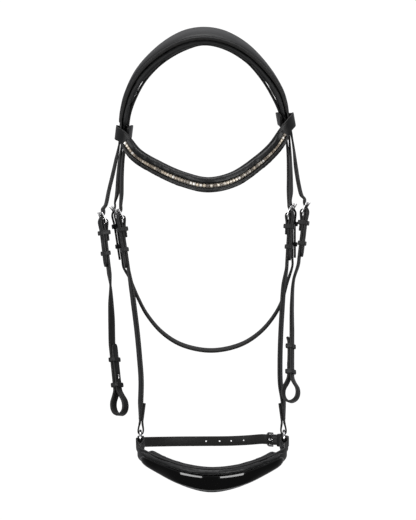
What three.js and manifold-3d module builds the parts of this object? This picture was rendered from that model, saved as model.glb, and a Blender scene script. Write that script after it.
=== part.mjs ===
// Snaffle bridle, front to -Y, up +Z, millimetres.
// The origin is the middle of the crown's underside, where a hook or a hand holds the bridle.
// "near" is the horse's left side (+X), "off" is its right side (-X).

import * as THREE from 'three';
import { mergeVertices } from 'three/addons/utils/BufferGeometryUtils.js';
import Module from 'manifold-3d';

const manifold = await Module();
manifold.setup();

// Leather
const STRAP_W = 12.7;        // half-inch straps
const STRAP_T = 2.8;
const BILLET_T = 2.6;
const FOLD_T = 2.0;          // skived end that turns back round a bar or ring
const HEADPIECE_W = 50;
const HEADPIECE_T = 4;
const HEADPIECE_PAD_T = 6.6;
const HEADSTRAP_W = 16;
const BROWBAND_W = 18.8;
const BROWBAND_T = 2.2;
const NOSEBAND_W = 33;
const NOSEBAND_T = 3;
const NOSEBAND_PAD_T = 7;

// Buckles
const BAR_R = 1.2;
const FRAME_INNER_W = 13.8;
const FRAME_OUTER_W = 18.8;
const FRAME_TOP = 13.2;      // from the bar's centre to the outside of the top
const FRAME_RIM = 2.8;
const FRAME_T = 2.2;
const FRAME_TILT = 18;       // degrees, top outward
const TONGUE_W = 2.2;
const TONGUE_LEN = 15;
const TONGUE_TILT = 31;
const SLOT_W = 3.2;          // room beside the tongue
const FIXED_KEEPER_Y = -13.5;
const RUNNER_Y = -39;
const BILLET_TIP_Y = -56;
const KEEPER_T = 1.3;
const KEEPER_W = 5.5;

// Noseband rings
const RING_R = 9.2;
const RING_WIRE_R = 1.5;
const RING_Z = -491.9;

const v = (x, y, z) => new THREE.Vector3(x, y, z);
const row = (p, w, t, b) => ({ p, w, t, b });
const FORE_AFT = v(0, 1, 0);
const UPRIGHT = v(0, 0, 1);

// ---------------------------------------------------------------- materials

function leather(color, roughness = 0.5) {
  return new THREE.MeshStandardMaterial({ color, roughness, metalness: 0 });
}

function steel() {
  return new THREE.MeshStandardMaterial({ color: 0xc9cbd0, roughness: 0.18, metalness: 1 });
}

function crystal() {
  return new THREE.MeshStandardMaterial({ color: 0xd9cfc0, roughness: 0.12, metalness: 0.6 });
}

const STRAP_COLOR = 0x1d1c1f;
const PAD_COLOR = 0x242327;
const PATENT_COLOR = 0x0c0c0e;

// ---------------------------------------------------------------- bent bodies

// How far the samples between two others stray from the chord that would replace them.
function strayFrom(samples, first, last) {
  const chord = new THREE.Line3(samples[first].p, samples[last].p);
  const foot = v();
  let worst = 0;
  for (let i = first + 1; i < last; i++) {
    chord.closestPointToPoint(samples[i].p, true, foot);
    worst = Math.max(worst, foot.distanceTo(samples[i].p));
  }
  return worst;
}

// Samples the curve through the rows just closely enough that no chord strays from it.
function stationsAlong(rows, tolerance = 0.12) {
  const curve = new THREE.CatmullRomCurve3(rows.map((r) => r.p), false, 'centripetal');
  const fine = 6;
  const count = (rows.length - 1) * fine;
  const samples = [];
  for (let i = 0; i <= count; i++) {
    const k = Math.min(Math.floor(i / fine), rows.length - 2);
    const f = i / fine - k;
    const tangent = curve.getTangent(i / count);
    const b = rows[k].b.clone().lerp(rows[k + 1].b, f);
    b.addScaledVector(tangent, -b.dot(tangent)).normalize();
    samples.push({
      p: curve.getPoint(i / count),
      b,
      n: tangent.clone().cross(b),
      w: THREE.MathUtils.lerp(rows[k].w, rows[k + 1].w, f),
      t: THREE.MathUtils.lerp(rows[k].t, rows[k + 1].t, f),
    });
  }
  const kept = [0];
  for (let i = 1; i < count; i++) {
    if (strayFrom(samples, kept.at(-1), i + 1) > tolerance) kept.push(i);
  }
  return [...kept, count].map((i) => samples[i]);
}

function bendOnto(geometry, stations, place) {
  const position = geometry.getAttribute('position');
  for (let i = 0; i < position.count; i++) {
    const { along, side, up } = place(position.getX(i), position.getY(i), position.getZ(i));
    const s = stations[Math.round(along * (stations.length - 1))];
    const p = s.p.clone().addScaledVector(s.b, side * s.w).addScaledVector(s.n, up * s.t);
    position.setXYZ(i, p.x, p.y, p.z);
  }
  geometry.computeVertexNormals();
  return geometry;
}

// A flat strap with square edges.
function strap(rows, tolerance) {
  const stations = stationsAlong(rows, tolerance);
  const geometry = new THREE.BoxGeometry(1, 1, 1, 1, 1, stations.length - 1);
  return bendOnto(geometry, stations, (x, y, z) => ({ along: z + 0.5, side: x, up: y }));
}

// A stuffed roll or pad: an oval section that closes in at both ends.
function roll(rows, sides = 10, squareness = 0.75) {
  const stations = stationsAlong(rows, 0.25);
  const geometry = new THREE.CylinderGeometry(1, 1, 1, sides, stations.length - 1);
  const soften = (c) => 0.5 * Math.sign(c) * Math.abs(c) ** squareness;
  return bendOnto(geometry, stations, (x, y, z) => ({
    along: y + 0.5,
    side: soften(z),
    up: soften(x),
  }));
}

// The rows of a piece that lies along another: forward of its face and higher up its width.
function beside(stations, facing, { forward, rise = 0, w, t }) {
  return stations.map((s) => {
    const side = Math.sign(s.n.dot(facing(s.p)));
    const p = s.p.clone().addScaledVector(s.n, side * forward).addScaledVector(s.b, rise * s.w);
    return row(p, w * s.w, t, s.b);
  });
}

// ---------------------------------------------------------------- cuts and joins

function toSolid(geometry) {
  const plain = geometry.clone();
  plain.deleteAttribute('normal');
  plain.deleteAttribute('uv');
  const merged = mergeVertices(plain, 1e-4);
  return new manifold.Manifold(new manifold.Mesh({
    numProp: 3,
    vertProperties: new Float32Array(merged.getAttribute('position').array),
    triVerts: new Uint32Array(merged.getIndex().array),
  }));
}

function toGeometry(solid) {
  const { vertProperties, triVerts } = solid.getMesh();
  const geometry = new THREE.BufferGeometry();
  geometry.setAttribute('position', new THREE.BufferAttribute(vertProperties, 3));
  geometry.setIndex(new THREE.BufferAttribute(triVerts, 1));
  geometry.computeVertexNormals();
  return geometry;
}

function cut(geometry, tools) {
  return toGeometry(tools.reduce((solid, tool) => solid.subtract(toSolid(tool)), toSolid(geometry)));
}

function join(geometries) {
  const [first, ...rest] = geometries.map(toSolid);
  return toGeometry(rest.reduce((solid, other) => solid.add(other), first));
}

// ---------------------------------------------------------------- places on the bridle

// A place has its own x across the strap, y back along it and z outward.
function place(origin, along, outward) {
  const y = along.clone().normalize();
  const z = outward.clone().addScaledVector(y, -outward.dot(y)).normalize();
  const x = y.clone().cross(z);
  const matrix = new THREE.Matrix4().makeBasis(x, y, z).setPosition(origin);
  return { matrix, x, at: (py, pz) => v(0, py, pz).applyMatrix4(matrix) };
}

// The direction across a strap, always the same way round so that long straps don't twist over.
function acrossOf(spot, reference) {
  return spot.x.dot(reference) < 0 ? spot.x.clone().negate() : spot.x.clone();
}

function boxAt(spot, yLow, yHigh, zLow, zHigh, width = SLOT_W) {
  const box = new THREE.BoxGeometry(width, yHigh - yLow, zHigh - zLow);
  box.translate(0, (yLow + yHigh) / 2, (zLow + zHigh) / 2);
  return box.applyMatrix4(spot.matrix);
}

function localRows(spot, reference, list) {
  const across = acrossOf(spot, reference);
  return list.map(([y, z, w, t]) => row(spot.at(y, z), w, t, across.clone()));
}

// ---------------------------------------------------------------- strap ends

// Turned back round a buckle's bar: the return's end, round the bar, then straight on down.
function chape(spot, reference, returnEnd = -24, straight = [-30, -56, -66]) {
  const w = STRAP_W;
  return localRows(spot, reference, [
    [returnEnd, -1.3, w, FOLD_T],
    [-9, -1.35, w, FOLD_T],
    [-3, -2.5, w, FOLD_T],
    [0, -2.7, w, FOLD_T],
    [1.95, -1.9, w, FOLD_T],
    [2.7, 0, w, FOLD_T],
    [1.95, 1.9, w, FOLD_T],
    [0, 2.7, w, FOLD_T],
    [-3, 2.5, w, FOLD_T],
    [-9, 1.6, w, STRAP_T],
    ...straight.map((y) => [y, 1.6, w, STRAP_T]),
  ]);
}

function chapeNotch(spot) {
  return boxAt(spot, -4.2, 6, -6, 6);
}

// The billet comes down behind the frame's top, over the bar and along the strap to its tip.
function billet(spot, reference, tip = BILLET_TIP_Y) {
  const w = STRAP_W;
  const t = BILLET_T;
  return localRows(spot, reference, [
    [16, -0.4, w, t],
    [12.5, -0.1, w, t],
    [10.2, 0.4, w, t],
    [7.6, 1.8, w, t],
    [5, 3.35, w, t],
    [2.6, 4.85, w, t],
    [0, 5.6, w, t],
    [-3.5, 5.5, w, t],
    [-8, 4.95, w, t],
    [-13, 4.7, w, t],
    [tip + 7, 4.7, w, t],
    [tip + 2, 4.7, w * 0.72, t],
    [tip, 4.7, w * 0.4, t],
  ]);
}

function billetSlot(spot) {
  return boxAt(spot, -4.4, 8.6, -2, 9);
}

// Turned back round a ring's wire. The ring's centre is the place's origin, bulk is how far each
// layer stands off the ring's plane, and mouth is the strap's width beside the wire. The strap
// may be twisted where it has left the ring.
function ringFold(spot, reference, width, back, options = {}) {
  const { endT = STRAP_T, twist = null, bulk = 3.1, mouth = 9 } = options;
  const throughW = 7;
  const layer = (side, t) => [
    [back, side < 0 ? -1.7 : 1.6, width, t],
    [19, side < 0 ? -1.7 : 1.6, width, t],
    [15, side * (bulk - 0.7), mouth + 0.5, 2.2],
    [11, side * bulk, mouth, FOLD_T],
    [8.2, side * bulk, mouth, FOLD_T],
    [6.2, side * bulk * 0.8, 0.6 * mouth + 3, FOLD_T],
    [5.2, side * bulk * 0.4, throughW + 0.5, FOLD_T],
  ];
  const through = [5, 0, throughW, FOLD_T];
  const table = [...layer(-1, 2.4), through, ...layer(1, endT).reverse()];
  const rows = localRows(spot, reference, table);
  if (twist) [rows[0], rows.at(-1)].forEach((end) => end.b.copy(twist));
  return rows;
}

// ---------------------------------------------------------------- hardware, drawn in a place's own axes

function buckleFrame(cornerR = 3) {
  const xo = FRAME_OUTER_W / 2;
  const xi = FRAME_INNER_W / 2;
  const yi = FRAME_TOP - FRAME_RIM;
  const outline = new THREE.Shape();
  outline.moveTo(-xo, -1.6);
  outline.lineTo(-xi, -1.6);
  outline.lineTo(-xi, yi);
  outline.lineTo(xi, yi);
  outline.lineTo(xi, -1.6);
  outline.lineTo(xo, -1.6);
  outline.lineTo(xo, FRAME_TOP - cornerR);
  outline.absarc(xo - cornerR, FRAME_TOP - cornerR, cornerR, 0, Math.PI / 2);
  outline.absarc(-xo + cornerR, FRAME_TOP - cornerR, cornerR, Math.PI / 2, Math.PI);
  const sides = new THREE.ExtrudeGeometry(outline, {
    depth: FRAME_T,
    bevelEnabled: false,
    curveSegments: 4,
  });
  sides.translate(0, 0, -FRAME_T / 2);
  const bar = new THREE.CylinderGeometry(BAR_R, BAR_R, FRAME_OUTER_W - 2, 12);
  bar.rotateZ(Math.PI / 2);
  return join([sides, bar]).rotateX(THREE.MathUtils.degToRad(FRAME_TILT));
}

function tongue() {
  const eyeR = 2.35;
  const spread = THREE.MathUtils.degToRad(24);
  const tipR = 0.7;
  const outline = new THREE.Shape();
  outline.absarc(0, 0, eyeR, Math.PI / 2 + spread, 2.5 * Math.PI - spread);
  outline.absarc(0, TONGUE_LEN - tipR, tipR, 0, Math.PI);
  const eye = new THREE.Path();
  eye.absarc(0, 0, BAR_R + 0.3, 0, 2 * Math.PI, true);
  outline.holes.push(eye);
  const body = new THREE.ExtrudeGeometry(outline, {
    depth: TONGUE_W,
    bevelEnabled: false,
    curveSegments: 5,
  });
  body.translate(0, 0, -TONGUE_W / 2);
  body.rotateY(Math.PI / 2);
  return body.rotateX(THREE.MathUtils.degToRad(TONGUE_TILT));
}

function roundedRect(path, x0, x1, y0, y1, r) {
  path.absarc(x1 - r, y0 + r, r, -Math.PI / 2, 0);
  path.absarc(x1 - r, y1 - r, r, 0, Math.PI / 2);
  path.absarc(x0 + r, y1 - r, r, Math.PI / 2, Math.PI);
  path.absarc(x0 + r, y0 + r, r, Math.PI, 1.5 * Math.PI);
  return path;
}

// A leather band round the strap, from zLow to zHigh inside.
function keeper(y, zLow, zHigh) {
  const half = STRAP_W / 2 + 0.45;
  const t = KEEPER_T;
  const outline = roundedRect(new THREE.Shape(), -half - t, half + t, zLow - t, zHigh + t, 1.6);
  outline.holes.push(roundedRect(new THREE.Path(), -half, half, zLow, zHigh, 0.4));
  const band = new THREE.ExtrudeGeometry(outline, {
    depth: KEEPER_W,
    bevelEnabled: false,
    curveSegments: 2,
  });
  band.translate(0, 0, -KEEPER_W / 2);
  band.rotateX(Math.PI / 2);
  return band.translate(0, y, 0);
}

// The hook that holds the bit billet: a shank through its hole and a blade turned down over it.
function hookStud(y) {
  const outline = new THREE.Shape();
  outline.moveTo(-0.6, 1.1);
  outline.lineTo(-0.6, -1.1);
  outline.lineTo(-3.1, -1.1);
  outline.lineTo(-3.1, -5);
  outline.lineTo(-4.2, -5.6);
  outline.lineTo(-4.9, -4.6);
  outline.lineTo(-4.9, 0.3);
  outline.lineTo(-4.1, 1.1);
  const body = new THREE.ExtrudeGeometry(outline, { depth: 3, bevelEnabled: false });
  body.translate(0, 0, -1.5);
  body.rotateY(-Math.PI / 2);
  return body.translate(0, y, 0);
}

function ring() {
  return new THREE.TorusGeometry(RING_R, RING_WIRE_R, 8, 28).rotateY(Math.PI / 2);
}

// ---------------------------------------------------------------- where things are

const OUT_OFF = v(-0.94, -0.34, 0);
const OUT_NEAR = v(0.98, -0.2, 0);

const spots = {
  cheek_off: place(v(-124, -12, -221.9), v(-6.6, 0, 55), OUT_OFF),
  throat_off: place(v(-110, 16.5, -213.2), v(-9.2, 0, 58.8), v(-1, -0.05, 0)),
  nose_off: place(v(-102, -4, -217.5), v(-8, 0, 54.4), v(-0.98, -0.2, 0)),
  cheek_near: place(v(123.6, -12, -209.4), v(6.6, 0, 55), OUT_NEAR),
  throat_near: place(v(109.6, 16.5, -210.7), v(0, 0, 1), v(1, -0.03, 0)),
  nose_near: place(v(105.4, -4, -213.8), v(3.4, 0, 58), v(0.98, -0.2, 0)),
  bit_off: place(v(-105, -18, -450.2), v(-6.6, 12, 58.8), v(-0.87, 0.5, 0)),
  bit_near: place(v(107.4, -18, -433.8), v(0.6, 12, 58), v(0.93, -0.36, 0)),
  chin: place(v(87.5, 56, -499), v(-0.8, 0.6, 0), v(0.6, 0.8, 0)),
};

const ringOff = v(-79.4, 0, RING_Z);
const ringNear = v(99.8, 0, RING_Z);
const outwardOff = v(-1, 0, 0);
const outwardNear = v(1, 0, 0);
const noseDown = v(0, -0.82, -0.57);
const chinBack = v(0, 0.96, -0.28);

const ringSpots = {
  cheek_off: place(ringOff, v(0.04, 0, 1), outwardOff),
  cheek_near: place(ringNear, v(-0.05, 0, 1), outwardNear),
  nose_off: place(ringOff, noseDown, outwardOff),
  nose_near: place(ringNear, noseDown, outwardNear),
  chin_off: place(ringOff, chinBack, outwardOff),
  chin_near: place(ringNear, chinBack, outwardNear),
};

// ---------------------------------------------------------------- the crown

const crownTilt = v(0, 0.94, 0.34);

const headpieceRows = [
  row(v(-104.6, 2.5, -97), 33, 3.4, v(-0.04, 1, 0)),
  row(v(-101.9, 2.5, -83), 34, HEADPIECE_T, v(-0.02, 1, 0.02)),
  row(v(-95.6, 3, -61.5), 37, HEADPIECE_T, v(0, 1, 0.1)),
  row(v(-80.4, 2, -33), 42, HEADPIECE_T, v(0, 0.98, 0.2)),
  row(v(-52, -1, -5.8), 47, HEADPIECE_T, v(0, 0.96, 0.29)),
  row(v(-24.5, -3.4, 9), 49, HEADPIECE_T, crownTilt),
  row(v(0, -4, 13), HEADPIECE_W, HEADPIECE_T, crownTilt),
  row(v(24.5, -3.4, 9), 49, HEADPIECE_T, crownTilt),
  row(v(52.5, -1, -5.8), 47, HEADPIECE_T, v(0, 0.96, 0.29)),
  row(v(79.8, 2, -33), 42, HEADPIECE_T, v(0, 0.98, 0.2)),
  row(v(95.8, 3, -58), 37, HEADPIECE_T, v(0, 1, 0.1)),
  row(v(101.5, 2.5, -74), 34, HEADPIECE_T, v(0.02, 1, 0.02)),
  row(v(104.4, 2.5, -86), 33, 3.4, v(0.04, 1, 0)),
];

// Across a crown strap, which turns to face a little forward on its way down to its buckle.
function turned(turn, z) {
  return v(turn * THREE.MathUtils.smoothstep(-z, 118, 152), 1, 0);
}

function tail(points, spot, turn) {
  const rows = points.map(([x, y, z]) => row(v(x, y, z), STRAP_W, BILLET_T, turned(turn, z)));
  return strap([...rows, ...billet(spot, FORE_AFT)]);
}

function headpiece() {
  const band = strap(headpieceRows);
  const tails = [
    tail([[-103.1, -7, -89], [-103.8, -7.4, -103], [-105.2, -7.8, -122], [-109.2, -8.5, -143],
      [-113.6, -9.5, -163], [-118.4, -11, -183], [-122.3, -12, -201]], spots.cheek_off, -0.3),
    tail([[-103.1, 12.2, -89], [-103, 12.4, -103], [-103.1, 13, -122], [-105.6, 13.6, -143],
      [-107.8, 14.8, -165], [-109.4, 16, -186]], spots.throat_off, -0.34),
    tail([[103.1, -7, -78], [105.4, -7.4, -94], [108.8, -7.8, -112], [112, -8.4, -132],
      [114.6, -9.4, -155], [118.2, -11, -177], [121.4, -12, -189]], spots.cheek_near, 0.32),
    tail([[103, 12.2, -78], [104.6, 12.4, -94], [106.8, 13, -112], [108.2, 13.6, -132],
      [109, 15, -158], [109.6, 16.3, -184]], spots.throat_near, 0.3),
  ];
  const slots = ['cheek_off', 'throat_off', 'cheek_near', 'throat_near']
    .map((name) => billetSlot(spots[name]));
  return cut(join([band, ...tails]), slots);
}

function headpiecePad() {
  const stations = stationsAlong(headpieceRows.slice(1, -1), 1);
  const below = -(HEADPIECE_T + HEADPIECE_PAD_T) / 2 - 0.45;
  const up = (p) => v(p.x, 0, 40);
  const rows = beside(stations, up, { forward: below, w: 0.92, t: HEADPIECE_PAD_T });
  const ends = [rows[0], rows.at(-1)];
  ends.forEach((end, i) => {
    const n = v(i ? 1 : -1, 0, 0.35);
    end.t = HEADPIECE_PAD_T / 2;
    end.p.addScaledVector(n, HEADPIECE_PAD_T / 4);
  });
  return roll(rows, 12, 0.6);
}

function nosebandHeadstrap() {
  const w = STRAP_W;
  const t = STRAP_T;
  const middle = [
    [-103, -3, -188, w, t], [-102.7, -1, -163, w, t], [-101.1, 0.6, -141, w, t],
    [-97.8, 2.6, -122, w, t], [-95.8, 3, -108, w, t], [-92.6, 3, -86, w, t],
    [-85.4, 3, -66, w, t], [-72.4, 2, -43.4, 13.5, t], [-49, 0.5, -20.4, 15, 3],
    [-22, -0.3, -4.6, HEADSTRAP_W, 3.2], [0, -0.5, 1.55, HEADSTRAP_W, 3.2],
    [26, -0.3, -4.4, HEADSTRAP_W, 3.2], [52.8, 0.5, -21.2, 15, 3], [73.2, 2, -44.2, 13.5, t],
    [86.4, 3, -66, w, t], [92.6, 3, -79, w, t], [97.6, 3, -93, w, t],
    [101.9, 2.6, -112, w, t], [104.6, 0.4, -132, w, t], [106, -1, -157, w, t],
    [105.8, -3, -184, w, t],
  ].map(([x, y, z, width, thick]) => {
    const lean = THREE.MathUtils.clamp(1 - Math.abs(x) / 90, 0, 1);
    const across = turned(0.3 * Math.sign(x), z).add(v(0, 0, 0.32 * lean));
    return row(v(x, y, z), width, thick, across);
  });
  const offEnd = billet(spots.nose_off, FORE_AFT, -62).reverse();
  const nearEnd = billet(spots.nose_near, FORE_AFT);
  const whole = strap([...offEnd, ...middle, ...nearEnd]);
  return cut(whole, [billetSlot(spots.nose_off), billetSlot(spots.nose_near)]);
}

// ---------------------------------------------------------------- the browband

const browRoute = [
  [-101, -25, -117, 16], [-84, -34, -138.4, 17.5], [-56, -55, -157, 18.5],
  [-24, -72, -171.8, BROWBAND_W], [5, -80, -178.4, BROWBAND_W], [34.5, -72, -171.8, BROWBAND_W],
  [64.5, -55, -151.6, 18.5], [88.5, -34, -127.6, 17.5], [104, -25, -104.5, 16],
];

const browRows = browRoute.map(([x, y, z, w]) => row(v(x, y, z), w, BROWBAND_T, UPRIGHT));
const fromForehead = (p) => v(p.x * 0.4, p.y, 0);

function browLoop(side, x, z, lean, inner) {
  const leanUp = v(-side * lean, 0, 1);
  return [
    [x - side * (inner - 3.2), -20, z - 5], [x - side * (inner - 0.6), -12, z - 1],
    [x - side * inner, 0, z], [x - side * inner, 15, z + 1], [x - side * (inner - 2.8), 22, z + 1],
    [x - side * 1, 24, z + 1], [x + side * 5.8, 22, z + 1], [x + side * 8.1, 15, z + 1],
    [x + side * 8.1, 0, z], [x + side * 6.8, -13, z - 3],
  ].map(([px, py, pz]) => row(v(px, py, pz), 16.5, BROWBAND_T, leanUp));
}

const browbandRows = [
  ...browLoop(-1, -101.6, -109, 0.12, 10.6),
  ...browRows,
  ...browLoop(1, 104.2, -93, 0.18, 11.8).reverse(),
];
const browFront = stationsAlong(browbandRows, 0.2).filter((s) => s.p.y < -28);

function browTrim(w, t, forward, rise) {
  return roll(beside(browFront, fromForehead, { forward, rise, w, t }), 8, 0.8);
}

function browCrystals() {
  const options = { forward: 2.9, rise: -0.07, w: 0.22, t: 2.4 };
  return strap(beside(browFront, fromForehead, options), 0.4);
}

// ---------------------------------------------------------------- the cheekpieces

// The eye for the bit ring, with the billet turned back up inside the cheekpiece. half is from the
// eye's middle to either side's strap, and lift is how far the billet's tip curls off it.
function bitEye(spot, tip, half, lift) {
  const w = STRAP_W;
  const t = STRAP_T;
  return localRows(spot, FORE_AFT, [
    [76, 1.7, w, t], [67, 1.7, w, t], [48, 1.7, w, t], [30, 1.7, w, t], [19, 2, w, t],
    [12.5, 4.6, w, t], [5, half * 0.96, w, t],
    [-3, half, w, t], [-8.8, half * 0.66, w, t], [-11.4, 0, w, t], [-8.8, -half * 0.66, w, t],
    [-3, -half, w, t], [5, -half * 0.96, w, t], [12.5, -4.6, w, BILLET_T],
    [19, -1.9, w, BILLET_T], [30, -1.5, w, BILLET_T], [tip - 6, -1.5, w, BILLET_T],
    [tip - 2, -1.5 - lift * 0.6, w * 0.72, BILLET_T], [tip, -1.5 - lift, w * 0.4, BILLET_T],
  ]);
}

function cheekpiece(spot, bit, route, eye) {
  const rows = route.map(([x, y, z, turn]) => row(v(x, y, z), STRAP_W, STRAP_T, v(turn, 1, 0)));
  const whole = strap([...chape(spot, FORE_AFT), ...rows, ...bitEye(bit, ...eye)]);
  return cut(whole, [chapeNotch(spot), boxAt(bit, 36.4, 40.8, -4, -0.1, 3.9)]);
}

// ---------------------------------------------------------------- the noseband

function nosebandCheek(spot, ringSpot, route, twist) {
  const rows = route.map(([x, y, z]) => row(v(x, y, z), STRAP_W, STRAP_T, twist));
  const fold = ringFold(ringSpot, FORE_AFT, STRAP_W, 44, { twist }).reverse();
  return cut(strap([...chape(spot, FORE_AFT), ...rows, ...fold]), [chapeNotch(spot)]);
}

const noseLean = v(0, -0.36, 0.93);
const noseRoute = [
  [-75, -36, -510.5, 18], [-52, -58, -520.5, 22.5], [-23, -82, -530, 29],
  [8.5, -91, -534.6, NOSEBAND_W], [41.5, -82, -531, 29], [72.5, -58, -521.5, 22.5],
  [95, -36, -511.5, 18],
];

const noseRows = noseRoute.map(([x, y, z, w]) => row(v(x, y, z), w, NOSEBAND_T, noseLean));
const fromNose = (p) => v(p.x - 9, p.y, 0);

const bulky = { endT: NOSEBAND_T, bulk: 4.4, mouth: 14.5 };
const backingRows = [
  ...ringFold(ringSpots.nose_off, UPRIGHT, 16, 26, bulky),
  ...noseRows,
  ...ringFold(ringSpots.nose_near, UPRIGHT, 16, 26, bulky).reverse(),
];
const noseFront = stationsAlong(backingRows, 0.15).filter((s) => s.p.y < -37.5);

function nosebandLayer(forward, rise, w, t, squareness) {
  return roll(beside(noseFront, fromNose, { forward, rise, w, t }), 10, squareness);
}

// The chin strap runs from the off ring round the back of the jaw to the near side's buckle.
function chinStrap() {
  const start = ringFold(ringSpots.chin_off, UPRIGHT, STRAP_W, 26);
  const middle = [
    [-75, 40, -500.5], [-60, 60, -502], [-31, 76, -503], [2, 83, -503.4], [34, 82, -503],
    [56, 76, -501.4],
  ].map(([x, y, z]) => row(v(x, y, z), STRAP_W, BILLET_T, UPRIGHT));
  const whole = strap([...start, ...middle, ...billet(spots.chin, UPRIGHT, -21)]);
  return cut(whole, [billetSlot(spots.chin)]);
}

function chinChape() {
  const start = chape(spots.chin, UPRIGHT, -16, [-15, -21]);
  const bend = row(v(106.2, 34.5, -499.4), STRAP_W, STRAP_T, UPRIGHT);
  const fold = ringFold(ringSpots.chin_near, UPRIGHT, STRAP_W, 22).reverse();
  return cut(strap([...start, bend, ...fold]), [chapeNotch(spots.chin)]);
}

// ---------------------------------------------------------------- the throatlatch

function throatlatch() {
  const route = [
    [-94.4, 17.5, -290], [-89, 18, -303.5], [-82, 18.5, -319.5], [-72, 19, -338],
    [-53, 20, -360.4], [-28, 21, -376.2], [8.8, 21.5, -383.4], [45.5, 21, -376.2],
    [70.5, 20, -360.4], [89, 19, -338.5], [98.6, 18.5, -319.5], [104.6, 18, -298],
  ].map(([x, y, z]) => row(v(x, y, z), STRAP_W, STRAP_T, v(0, 0.96, 0.27)));
  const off = chape(spots.throat_off, FORE_AFT);
  const near = chape(spots.throat_near, FORE_AFT).reverse();
  const notches = [chapeNotch(spots.throat_off), chapeNotch(spots.throat_near)];
  return cut(strap([...off, ...route, ...near]), notches);
}

// ---------------------------------------------------------------- assembly

const bridle = new THREE.Group();

function add(name, geometry, material, parent = bridle) {
  const mesh = new THREE.Mesh(geometry, material);
  mesh.name = name;
  parent.add(mesh);
}

function groupAt(spot) {
  const group = new THREE.Group();
  group.applyMatrix4(spot.matrix);
  bridle.add(group);
  return group;
}

function addBuckle(name, spot) {
  const group = groupAt(spot);
  add(`${name}_buckle_frame`, buckleFrame(name === 'chin' ? 6 : 3), steel(), group);
  add(`${name}_buckle_tongue`, tongue(), steel(), group);
  return group;
}

function addKeepers(name, group) {
  const color = STRAP_COLOR;
  add(`${name}_fixed_keeper`, keeper(FIXED_KEEPER_Y, -3.2, 7), leather(color), group);
  add(`${name}_runner_keeper`, keeper(RUNNER_Y, -0.2, 6.4), leather(color), group);
}

add('headpiece', headpiece(), leather(STRAP_COLOR));
add('headpiece_pad', headpiecePad(), leather(PAD_COLOR, 0.6));
add('noseband_headstrap', nosebandHeadstrap(), leather(STRAP_COLOR));
add('browband', strap(browbandRows), leather(STRAP_COLOR));
add('browband_upper_roll', browTrim(0.39, 5, 4.1, 0.27), leather(PAD_COLOR));
add('browband_lower_roll', browTrim(0.25, 3.8, 3.6, -0.35), leather(PAD_COLOR));
add('browband_crystals', browCrystals(), crystal());

add('cheekpiece_off', cheekpiece(spots.cheek_off, spots.bit_off,
  [[-116.3, -11, -303, 0], [-116, -9, -322, 0.35], [-115.3, -6, -344, 0.57]], [78, 8.4, 0.6]),
  leather(STRAP_COLOR));
add('cheekpiece_near', cheekpiece(spots.cheek_near, spots.bit_near,
  [[111.6, -11, -294, 0.15], [109.6, -7, -325, 0.3]], [70, 9.4, 2.6]),
  leather(STRAP_COLOR));
add('noseband_cheek_off', nosebandCheek(spots.nose_off, ringSpots.cheek_off,
  [[-90.6, -3, -303], [-87, -2, -331], [-83.6, -1, -359], [-80.6, 0, -391], [-78.6, 0, -420]],
  v(-0.42, 0.91, 0)), leather(STRAP_COLOR));
add('noseband_cheek_near', nosebandCheek(spots.nose_near, ringSpots.cheek_near,
  [[99.8, -3, -300], [97.6, -2, -331], [95.8, -1, -365], [95, 0, -400], [95.6, 0, -425]],
  v(0.38, 0.92, 0)), leather(STRAP_COLOR));
add('throatlatch', throatlatch(), leather(STRAP_COLOR));

add('noseband_backing', strap(backingRows), leather(STRAP_COLOR));
add('noseband_padding', nosebandLayer(-5.6, 0, 0.94, NOSEBAND_PAD_T, 0.6), leather(PAD_COLOR, 0.65));
add('noseband_roll', nosebandLayer(4.3, 0.375, 0.19, 4.4, 0.8), leather(PAD_COLOR, 0.4));
add('noseband_patent', nosebandLayer(4.3, -0.07, 0.64, 3.4, 0.7), leather(PATENT_COLOR, 0.08));
add('chin_strap', chinStrap(), leather(STRAP_COLOR));
add('chin_chape', chinChape(), leather(STRAP_COLOR));

for (const strapName of ['cheek', 'throat', 'nose']) {
  for (const side of ['off', 'near']) {
    const name = `${strapName}_${side}`;
    addKeepers(name, addBuckle(name, spots[name]));
  }
}
const chinGroup = addBuckle('chin', spots.chin);
add('chin_keeper', keeper(-12, -3.2, 7), leather(STRAP_COLOR), chinGroup);

for (const side of ['off', 'near']) {
  const group = groupAt(spots[`bit_${side}`]);
  add(`bit_${side}_upper_keeper`, keeper(58, -3.2, 3.5), leather(STRAP_COLOR), group);
  add(`bit_${side}_lower_keeper`, keeper(26, -3.6, 3.9), leather(STRAP_COLOR), group);
  add(`bit_${side}_hook_stud`, hookStud(38.6), steel(), group);
}

for (const [name, centre] of [['noseband_ring_off', ringOff], ['noseband_ring_near', ringNear]]) {
  const group = new THREE.Group();
  group.position.copy(centre);
  bridle.add(group);
  add(name, ring(), steel(), group);
}

export default bridle;
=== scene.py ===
"""Looks of the snaffle bridle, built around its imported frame.

Lengths are in millimetres until a mesh is made, in metres after. +Z is up and the front faces -Y.
"near" is the horse's left side (+X), "off" is its right side (-X).
"""

import random
from math import copysign, cos, pi, radians, sin, sqrt

import bmesh
import bpy
import numpy as np
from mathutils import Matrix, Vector
from numpy.linalg import norm


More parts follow.
